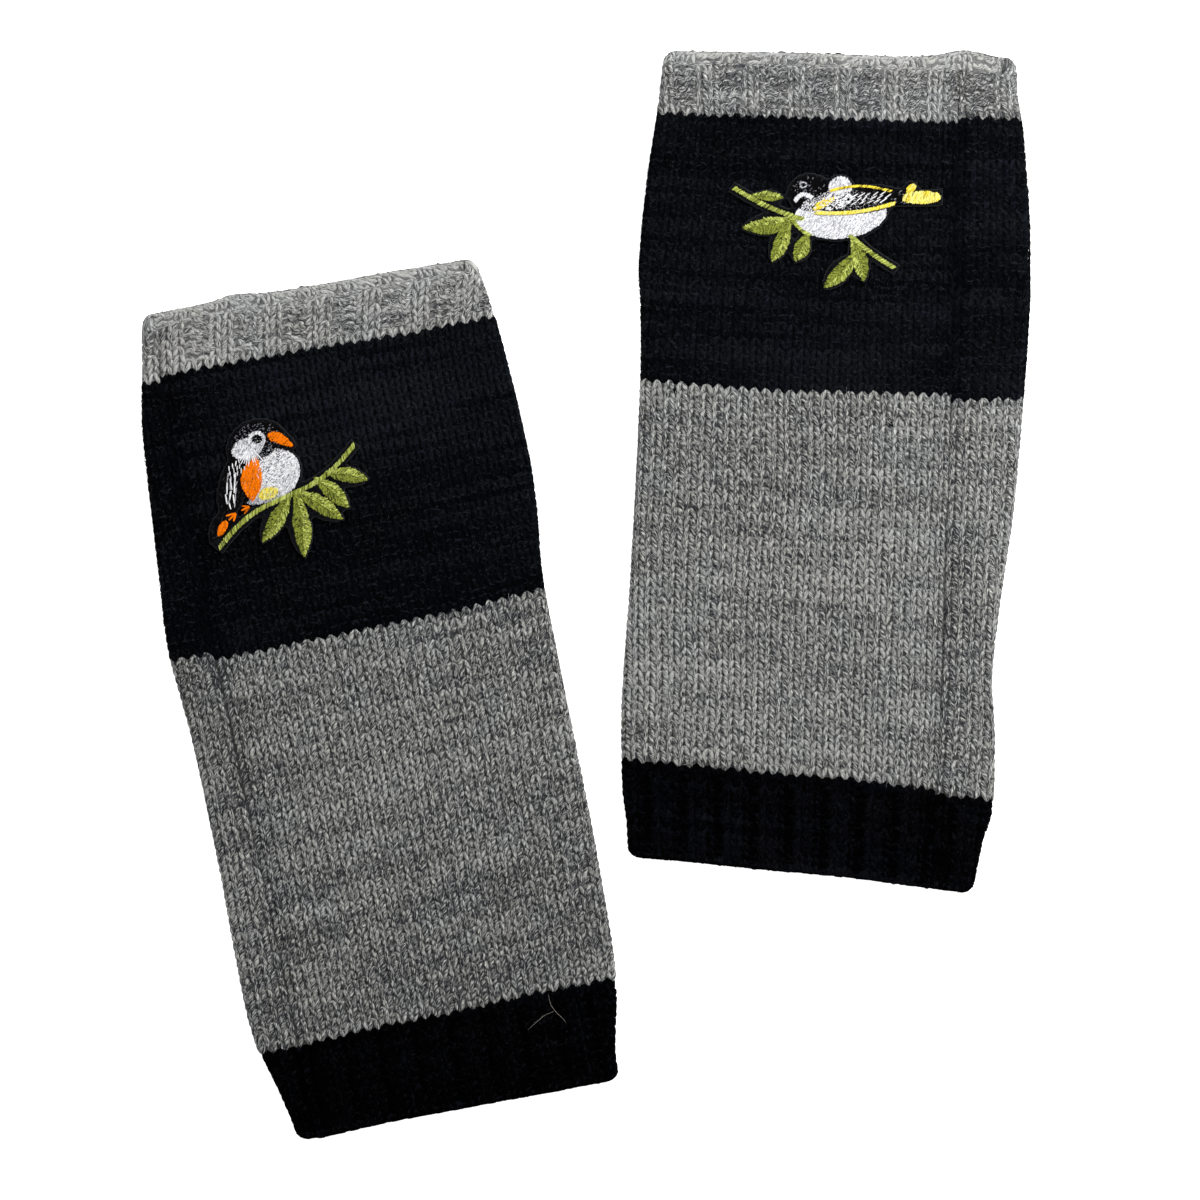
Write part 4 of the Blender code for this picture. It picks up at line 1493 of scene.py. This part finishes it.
@dataclass
class Patch:
    """A felt patch and its embroidery."""

    tube: Tube
    place: Point
    seed: int
    motifs: tuple[tuple[str, str, ThreadFinish, str, tuple[Motif, ...]], ...]
    top: float = 7.5  # height of the felt's face

    def felt(self) -> None:
        """The felt ground, cut to its solid's outline, with soft edges and a nap."""
        node = f"{self.tube.name}_patch_felt"
        name = f"{self.tube.name}_felt_ground"
        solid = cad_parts[node]
        piece = bpy.data.objects.new(name, solid.data.copy())
        piece.data.materials.clear()
        bpy.context.scene.collection.objects.link(piece)
        remesh = piece.modifiers.new("remesh", "REMESH")
        remesh.mode = "VOXEL"
        remesh.voxel_size = 0.7 * MM
        soften = piece.modifiers.new("soften", "SMOOTH")
        soften.iterations = 2
        soften.factor = 0.5
        depsgraph = bpy.context.evaluated_depsgraph_get()
        mesh = bpy.data.meshes.new_from_object(piece.evaluated_get(depsgraph))
        piece.modifiers.clear()
        piece.data = mesh
        points = np.empty(len(mesh.vertices) * 3, np.float32)
        mesh.vertices.foreach_get("co", points)
        points = points.reshape(-1, 3)
        points[:, 2] += Drift(0.9, 0.07, self.seed).at(points[:, 0] / MM, points[:, 1] / MM) * MM
        mesh.vertices.foreach_set("co", points.ravel())
        mesh.shade_smooth()
        mesh.materials.append(Wardrobe.get(FELT_BLACK))
        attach(piece, "root")
        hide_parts(node)
        log.info("%s: %d faces", name, len(mesh.polygons))

    def build(self) -> None:
        """Makes the felt and every embroidered piece."""
        self.felt()
        centre = self.tube.on_front(*self.place)
        for number, (part, node, finish, slot, shapes) in enumerate(self.motifs):
            name, solid = f"{self.tube.name}_{part}", f"{self.tube.name}_{node}"
            threads = Threads(name, solid, finish, slot, centre, self.top, self.seed + number)
            threads.work(shapes)
            threads.build()


# The motifs are plain songbirds on twigs, made of ovals, plumes, leaves and stems on their solids' places
LEFT_BIRD = (
    Oval(-12.2, 14.6, 22.6, 20.6, 20, Filling(Dye.INK, 70, Dye.INK_SHEEN, 0.12, 0.8)),
    # Short grey stitches among black on the crown: painted highlights along the head's top
    Oval(-13.0, 17.5, 17.0, 14.0, 20, Filling(Dye.INK, 35, Dye.GREY, 0.16, 0.4, 1)),
    Oval(-22.0, 0.4, 23.6, 8.8, 78, Filling(Dye.INK, 80, Dye.INK_SHEEN, 0.12, 0.9)),
    Plume((-20.5, -6.0), (-30.2, -20.4), 5.4, Filling(Dye.INK, 60, Dye.INK_SHEEN, 0.12, 0.9)),
    Oval(-7.4, 4.6, 22.6, 19.0, 33, Filling(Dye.WHITE, 62, Dye.PALE, 0.3, 0.9)),
    Oval(-6.0, 7.5, 15.0, 11.0, 33, Filling(Dye.WHITE, 40, Dye.GREY, 0.16, 0.7, 1)),
    Oval(-10.0, -4.0, 13.0, 3.6, 16, Filling(Dye.PALE, 60, Dye.GREY, 0.35, 0.7, 1)),
    Plume((-13.4, 11.4), (-14.4, -5.2), 7.4, Filling(Dye.ORANGE, 75, None, 0, 1.4, 2), -0.06, 1.0),
    Oval(-8.4, -2.4, 7.6, 4.2, 15, Filling(Dye.STRAW, 70, Dye.YELLOW, 0.4, 1.2, 2)),
    Oval(-16.4, 14.6, 12.0, 7.6, 15, Filling(Dye.WHITE, 65, Dye.PALE, 0.35, 1.2, 2)),
    Oval(-12.8, 18.0, 6.6, 6.0, 0, Filling(Dye.WHITE, 65, Dye.PALE, 0.3, 1.2, 3)),
    Oval(-12.6, 18.2, 3.6, 3.2, 0, Filling(Dye.INK, 10, None, 0, 1.6, 4)),
    Fan(-15.4, 15.6, 2.0, 7.2, 236, 312, 11, Dye.WHITE),
    Plume((-8.4, 20.0), (0.8, 15.6), 3.2, Filling(Dye.ORANGE, 45, None, 0, 1.0, 2), 0.04, 0.6),
    Bars((-19.6, 9.8), (-24.4, 6.2), 3.4, 3, 4, 1.9, 58, Dye.WHITE),
    Bars((-23.8, 3.6), (-24.6, -9.0), 2.8, 3, 3, 4.0, 4, Dye.WHITE, 0.6),
    Bars((-22.6, 3.2), (-23.4, -8.0), 2.2, 2, 4, 2.4, -6, Dye.PALE),
    Fan(-15.4, -7.4, 0.2, 3.6, 176, 232, 3, Dye.ORANGE, 0.8),
    Fan(-20.6, -9.8, 0.2, 3.8, 196, 252, 3, Dye.ORANGE, 0.8),
    Oval(-25.8, -15.6, 6.0, 2.8, 58, Filling(Dye.ORANGE, 80, None, 0, 1.6, 2)),
)

LEFT_SPRAY = (
    Blade((-0.2, -2.4), (-10.6, -20.6), 5.0, 0, 1),
    Blade((1.8, -1.2), (5.2, -26.2), 5.6, 0, 1),
    Blade((1.4, -1.4), (19.6, -12.0), 5.2, 0, 1),
    Blade((9.2, 3.6), (21.8, -7.6), 5.0, 0, 1),
    Blade((13.0, 5.6), (29.0, 3.0), 4.6, 1, 1),
    Stem((-27.0, -23.0), (24.0, 16.0), 0, 0.04, 2.1, Dye.LEAF, Dye.LIME, 0.38, layer=2),
)

RIGHT_BIRD = (
    Oval(-10.6, 14.4, 15.4, 13.4, 0, Filling(Dye.INK, 60, Dye.INK_SHEEN, 0.05, 0.9)),
    Oval(-11.0, 16.4, 12.0, 8.0, 0, Filling(Dye.INK, 60, Dye.GREY, 0.1, 0.4, 1)),
    Oval(1.0, 6.6, 34.6, 18.2, 5, Filling(Dye.WHITE, 50, Dye.PALE, 0.35, 0.8)),
    Oval(0.8, 16.6, 8.6, 8.0, 0, Filling(Dye.WHITE, 65, Dye.PALE, 0.35, 1.0, 1)),
    Plume((-10.0, 9.0), (27.0, 14.0), 9.2, Filling(Dye.INK, 20, Dye.INK_SHEEN, 0.1, 1.0, 1)),
    Oval(-1.0, 11.4, 13.0, 5.6, 14, Filling(Dye.WHITE, 28, Dye.INK, 0.3, 0.9, 2)),
    Oval(-5.4, 10.6, 9.0, 2.4, 30, Filling(Dye.YELLOW, 40, Dye.WHITE, 0.2, 0.9, 3)),
    Bars((3.6, 10.4), (20.0, 12.0), 2.8, 3, 6, 2.8, 24, Dye.WHITE),
    Stem((-8.6, 7.0), (21.4, 10.6), -0.05, 0, 1.6, Dye.YELLOW, Dye.STRAW, 0.35, layer=4),
    Stem((-3.0, 15.4), (20.0, 15.2), 0.08, 0, 1.3, Dye.YELLOW, Dye.INK, 0.25, 50, 4),
    Stem((-16.4, 11.4), (-9.8, 12.6), 0.3, 0, 1.7, Dye.WHITE, Dye.PALE, 0.4, 20, 3),
    Oval(-13.2, 17.6, 2.4, 2.2, 0, Filling(Dye.PALE, 20, Dye.GREY, 0.3, 0.8, 3)),
    Oval(-13.2, 17.6, 1.3, 1.2, 0, Filling(Dye.INK, 20, None, 0, 0.8, 4)),
    Plume((20.0, 12.6), (27.0, 12.8), 4.6, Filling(Dye.INK, 20, Dye.GREY, 0.12, 0.8, 2)),
    Oval(31.6, 12.8, 14.6, 4.4, 1, Filling(Dye.STRAW, 72, Dye.YELLOW, 0.35, 1.4, 3)),
    Oval(27.7, 16.2, 4.0, 2.6, 40, Filling(Dye.YELLOW, 45, Dye.STRAW, 0.3, 1.4, 2)),
)

RIGHT_TWIG = (
    Blade((-33.0, 13.4), (-21.0, 12.8), 2.6, 0, 1),
    Blade((-14.8, 4.6), (-36.0, 1.4), 5.2, 0, -1),
    Blade((-18.4, 4.4), (-25.0, -11.2), 4.6, 0, 1),
    Blade((-11.4, -0.8), (-16.2, -11.0), 4.8, 0, 1),
    Stem((-17.5, 5.0), (-10.5, -1.5), -0.08, 0, 1.7, Dye.LEAF, Dye.LIME, 0.4, layer=1),
    Stem((-39.5, 16.5), (-13.0, 4.5), -0.04, 0, 2.0, Dye.LEAF, Dye.LIME, 0.38, layer=2),
)

RIGHT_LOWER_TWIG = (
    Blade((5.4, -2.4), (9.8, -18.6), 4.8, 0, -1),
    Blade((7.4, -8.0), (-5.0, -21.2), 5.0, 0, 1),
    Stem((4.5, -1.5), (21.5, -14.0), -0.03, 0, 2.0, Dye.LEAF, Dye.LIME, 0.38, layer=2),
)


@dataclass
class Strays:
    """Loose fibres that lie on the knitting: pale ones on a lower cuff and black specks on a grey body."""

    pale: tuple[tuple[Point, ...], ...] = (
        ((-14.3, -151.6), (-13.4, -155.4), (-11.2, -158.6), (-8.8, -160.8), (-7.4, -162.8)),
        ((-12.2, -158.2), (-15.6, -159.6), (-18.6, -162), (-21.9, -165)),
    )
    black: tuple[tuple[Point, ...], ...] = (
        ((33.2, 79.2), (33.9, 77.8), (33.2, 76.6)),
        ((34.1, 78.4), (33.2, 77.6), (33.6, 76.2)),
        ((114.4, 65.2), (115.4, 64.2), (116.6, 63.6)),
        ((114.9, 65.4), (115.9, 64.8), (116.4, 63.2)),
        ((91.8, 60.9), (92.6, 60.1), (92.9, 59.2)),
    )

    def lay_down(
        self, name: str, routes: Sequence[Sequence[Point]], half: float, height: float, finish: YarnFinish
    ) -> None:
        """Makes one piece of fibres of half a width along routes at a height."""
        layer, seeds = Layer(), np.random.default_rng(7)
        share = np.linspace(0, 1, 13)
        angle = np.radians(np.linspace(-95, 95, 4))
        for route in routes:
            knots = np.linspace(0, 1, len(route))
            path = np.stack([smooth_curve(knots, [p[i] for p in route], share) for i in (0, 1)], axis=1)
            way = np.gradient(path, axis=0)
            way = way / np.hypot(*way.T)[:, None]
            width = half * (1 - 0.6 * (2 * share - 1) ** 2)[:, None]
            side = np.sin(angle) * width
            x = path[:, :1] - way[:, 1:] * side
            y = path[:, 1:] + way[:, :1] * side
            z = height + 0.25 * np.sin(9 * share)[:, None] + width * np.cos(angle)
            grid = np.stack((x, y, z), axis=-1)[None] * MM
            along = np.broadcast_to(share[:, None] * 12, x.shape)
            seed = np.full(x.shape, seeds.uniform(0, 100))
            layer.add(grid, np.stack((along, side, seed), axis=-1)[None], np.zeros(x.shape)[None], True)
        layer.build(name, finish, "black_knit")

    def build(self) -> None:
        """Makes both kinds."""
        self.lay_down("pale_stray_fibres", self.pale, 0.055, STRAY_HEIGHT, PALE_FIBRE)
        self.lay_down("black_stray_specks", self.black, 0.3, STRAY_HEIGHT + 0.45, BLACK_YARN)


# ---------------------------------------------------------------- the two arm warmers


LEFT_TUBE = Tube(
    name="left",
    place=(-79.1, -40.2),
    turn=11.5,
    sections=(
        Section(-160, -62.6, 61.4, -57.0, 4.50),
        Section(-148, -64.4, 62.0, -57.0, 4.50),
        Section(-133, -68.0, 65.7, -56.8, 4.52),
        Section(-118, -72.1, 68.4, -56.6, 4.52),
        Section(-95, -73.0, 69.7, -56.8, 4.55),
        Section(-50, -72.2, 70.6, -57.2, 4.62),
        Section(0, -72.6, 70.7, -57.8, 4.70),
        Section(34, -74.7, 71.1, -58.3, 4.71),
        Section(60, -72.7, 74.2, -58.0, 4.71),
        Section(80, -71.0, 75.2, -57.8, 4.70),
        Section(118, -67.6, 74.1, -57.6, 4.68),
        Section(141, -63.1, 72.2, -56.5, 4.70),
        Section(162, -59.0, 69.0, -53.6, 4.78),
    ),
    borders=(
        Border(-158.9, -158.6, -159.5, 0.8),
        Border(-122.8, -121.6, -121.2, -0.3),
        Border(27.6, 27.2, 28.9, 3.0),
        Border(136.8, 135.5, 133.6, -1.2),
        Border(161.3, 160.0, 157.4, 0.0),
    ),
    swells=(
        Swell(-65, 0, 110, 7, 0.6),
        Swell(64, 10, 120, 8, 0.6),
        Swell(-50, -40, 90, 5, 0.5),
        Swell(8, -62, 45, 24, 0.6),
        Swell(40, -5, 26, 16, 0.4),
    ),
    hump=Hump(-23.0, 7.0, 1.4),
    wales=61,
    first=0.25,
    tuck=0.0,
    lumps=Drift(21.0, 0.32, 3),
    dimples=Drift(7.0, 0.12, 4),
    sway=Drift(26.0, 0.45, 5),
    ripple=Drift(31.0, 0.5, 6),
)

RIGHT_TUBE = Tube(
    name="right",
    place=(91.2, 47.2),
    turn=-3.5,
    sections=(
        Section(-157, -66.0, 65.4, 49.6, 4.42),
        Section(-141, -67.3, 68.0, 49.6, 4.44),
        Section(-125, -70.1, 71.3, 49.5, 4.50),
        Section(-95, -72.4, 70.3, 49.0, 4.56),
        Section(-76, -72.4, 68.2, 48.6, 4.58),
        Section(-50, -72.1, 69.2, 48.0, 4.60),
        Section(-11, -72.2, 72.4, 47.0, 4.60),
        Section(34, -73.0, 73.7, 45.4, 4.59),
        Section(57, -74.5, 73.9, 44.8, 4.58),
        Section(72, -76.0, 73.7, 44.3, 4.55),
        Section(103, -75.2, 71.4, 43.2, 4.45),
        Section(133, -72.6, 67.3, 42.2, 4.36),
        Section(148, -71.6, 64.2, 41.8, 4.38),
        Section(162, -70.6, 62.8, 41.6, 4.41),
    ),
    borders=(
        Border(-151.3, -153.5, -157.6, 0.0),
        Border(-114.7, -116.4, -119.2, -1.9),
        Border(29.9, 29.2, 33.6, -2.6),
        Border(131.8, 133.3, 135.9, 1.8),
        Border(155.6, 158.7, 161.2, 0.0),
    ),
    swells=(
        Swell(-66, 10, 115, 8, 0.6),
        Swell(63, 5, 115, 7, 0.6),
        Swell(55, -30, 100, 4, 0.5),
        Swell(-12, -66, 42, 26, 0.6),
        Swell(-44, 0, 30, 14, 0.4),
    ),
    hump=Hump(43.0, 10.0, 2.9),
    wales=62,
    first=0.15,
    tuck=0.35,
    lumps=Drift(23.0, 0.32, 13),
    dimples=Drift(7.0, 0.12, 14),
    sway=Drift(28.0, 0.45, 15),
    ripple=Drift(33.0, 0.5, 16),
)

TWO_AND_TWO = (Stitch.KNIT, Stitch.KNIT, Stitch.PURL, Stitch.PURL)
TWO_AND_ONE = (Stitch.KNIT, Stitch.KNIT, Stitch.PURL)


@dataclass
class ArmWarmer:
    """One arm warmer: four bands of a tube and a patch."""

    tube: Tube
    patch: Patch
    cuff_shift: int
    rib_shift: int
    rib_tone: float
    body: tuple[float, tuple[PaintedLight, ...]]
    band: tuple[float, tuple[PaintedLight, ...]]
    cuff_tone: float
    seed: int

    def bands(self) -> list[KnitBand]:
        """The four bands, from the wrist up."""
        grey = (GREY_YARN, GREY_CLOTH, "grey_knit")
        pale = (CUFF_YARN, CUFF_CLOTH, "grey_knit")
        black = (BLACK_YARN, BLACK_CLOTH, "black_knit")
        deep = (DEEP_BLACK_YARN, BLACK_CLOTH, "black_knit")
        rib = Pattern(TWO_AND_ONE, self.cuff_shift, 0.42, 1.2, 0.72, -3.5)
        cuff = Pattern(TWO_AND_TWO, self.rib_shift, 0.35, 0.2, 0.95, -1.2)
        # The fibres on the black bands are paler than their yarn: real fuzz, paled as its painted sheen; on
        # the black band they lie in rows at the stitches' points, as painted highlights there
        fuzz = (
            Fuzz(900, 3.0, 2.0, 2.4, 0.16),
            Fuzz(2800, 0.4, 3.5),
            Fuzz(5600, 3.4, 2.6, 1.6, 0.3, 0.5, True),
            Fuzz(500, 0.4, 3.5),
        )
        tube, seed = self.tube, self.seed
        return [
            KnitBand(tube, "lower_cuff", 0, 12, *deep, rib, fuzz[0], (0.25, 0.038), seed, self.rib_tone),
            KnitBand(tube, "grey_body", 1, 46, *grey, PLAIN, fuzz[1], (0.288, 0.148), seed + 1, *self.body),
            KnitBand(tube, "black_band", 2, 33, *black, PLAIN, fuzz[2], (0.285, 0.107), seed + 2, *self.band),
            KnitBand(tube, "upper_cuff", 3, 6, *pale, cuff, fuzz[3], (0.27, 0.026), seed + 3, self.cuff_tone),
        ]

    def build(self) -> None:
        """Makes every piece of the arm warmer."""
        for band in self.bands():
            band.build()
        self.patch.build()


@dataclass
class Studio:
    """The floor, the lights and the camera above the pair."""

    middle: Point = (5.3, -2.17)
    width: float = 456.0  # what the picture shows across
    distance: float = 1600.0
    sensor: float = 36.0
    sky: float = 0.4

    def camera(self) -> None:
        """Looks straight down at the pair."""
        data = bpy.data.cameras.new("camera")
        data.sensor_width = self.sensor
        data.lens = self.sensor * self.distance / self.width
        data.dof.use_dof = False
        holder = bpy.data.objects.new("camera", data)
        holder.location = Vector((*self.middle, self.distance + FOLD)) * MM
        bpy.context.scene.collection.objects.link(holder)
        bpy.context.scene.camera = holder

    def lamp(self, name: str, place: tuple[float, float, float], size: float, power: float) -> None:
        """A soft square light that faces the pair."""
        data = bpy.data.lights.new(name, "AREA")
        data.size = size
        data.energy = power
        holder = bpy.data.objects.new(name, data)
        holder.location = place
        holder.rotation_euler = Vector(place).to_track_quat("Z", "Y").to_euler()
        bpy.context.scene.collection.objects.link(holder)

    def floor(self) -> None:
        """A plain pale floor."""
        mesh = bpy.data.meshes.new("floor")
        reach = 3.0
        corners = [(-reach, -reach), (reach, -reach), (reach, reach), (-reach, reach)]
        mesh.from_pydata([(x, y, -FLOOR_DROP * MM) for x, y in corners], [], [(0, 1, 2, 3)])
        mesh.materials.append(Wardrobe.get(PaperFinish()))
        piece = bpy.data.objects.new("floor", mesh)
        bpy.context.scene.collection.objects.link(piece)

    def build(self) -> None:
        """Sets the stage."""
        scene = bpy.context.scene
        scene.view_settings.view_transform = "Standard"
        world = bpy.data.worlds.new("studio")
        world.use_nodes = True
        sky = world.node_tree.nodes["Background"]
        sky.inputs[0].default_value = (1.0, 1.0, 1.0, 1.0)
        sky.inputs[1].default_value = self.sky
        scene.world = world
        self.floor()
        self.lamp("key", (0.46, 0.42, 0.72), 0.5, 10.5)
        self.lamp("fill", (-1.2, 0.6, 1.4), 1.3, 8.0)
        self.camera()


def main() -> None:
    """Builds both arm warmers and the studio."""
    logging.basicConfig(level=logging.INFO, format="%(message)s")
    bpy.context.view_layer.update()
    left_patch = Patch(
        LEFT_TUBE,
        (-16.1, 85.7),
        40,
        (
            ("bird_threads", "patch_bird", BIRD_THREAD, "bird_thread", LEFT_BIRD),
            ("spray_threads", "patch_spray", LEAF_THREAD, "leaf_thread", LEFT_SPRAY),
        ),
    )
    right_patch = Patch(
        RIGHT_TUBE,
        (-1.2, 90.4),
        60,
        (
            ("bird_threads", "patch_bird", BIRD_THREAD, "bird_thread", RIGHT_BIRD),
            ("twig_threads", "patch_twig", LEAF_THREAD, "leaf_thread", RIGHT_TWIG),
            ("lower_twig_threads", "patch_lower_twig", LEAF_THREAD, "leaf_thread", RIGHT_LOWER_TWIG),
        ),
    )
    past = RIGHT_TUBE.wales - 1  # the wale just beyond the right tube's seam
    # Painted light and painted shade over parts of the bodies and black bands; the right body's wales just
    # beyond its seam get painted shade
    body_light = (
        (PaintedLight(14, 46, 30, 10, -0.15),),
        (PaintedLight(12, 14, 40, 18, 1.0), PaintedLight(14, 46, 40, 5, 0.9), PaintedLight(past, 16, 2, 20, -0.7)),
    )
    band_light = (PaintedLight(13, 26, 13, 11, 2.9),), (PaintedLight(20, 18, 30, 22, 0.3),)
    left_tones = -2.0, (-0.45, body_light[0]), (-1.0, band_light[0]), 1.0
    right_tones = -0.5, (-0.3, body_light[1]), (-0.2, band_light[1]), -0.3
    ArmWarmer(LEFT_TUBE, left_patch, 1, 0, *left_tones, 100).build()
    ArmWarmer(RIGHT_TUBE, right_patch, 1, 1, *right_tones, 200).build()
    Strays().build()
    Studio().build()


if __name__ == "__main__":
    main()
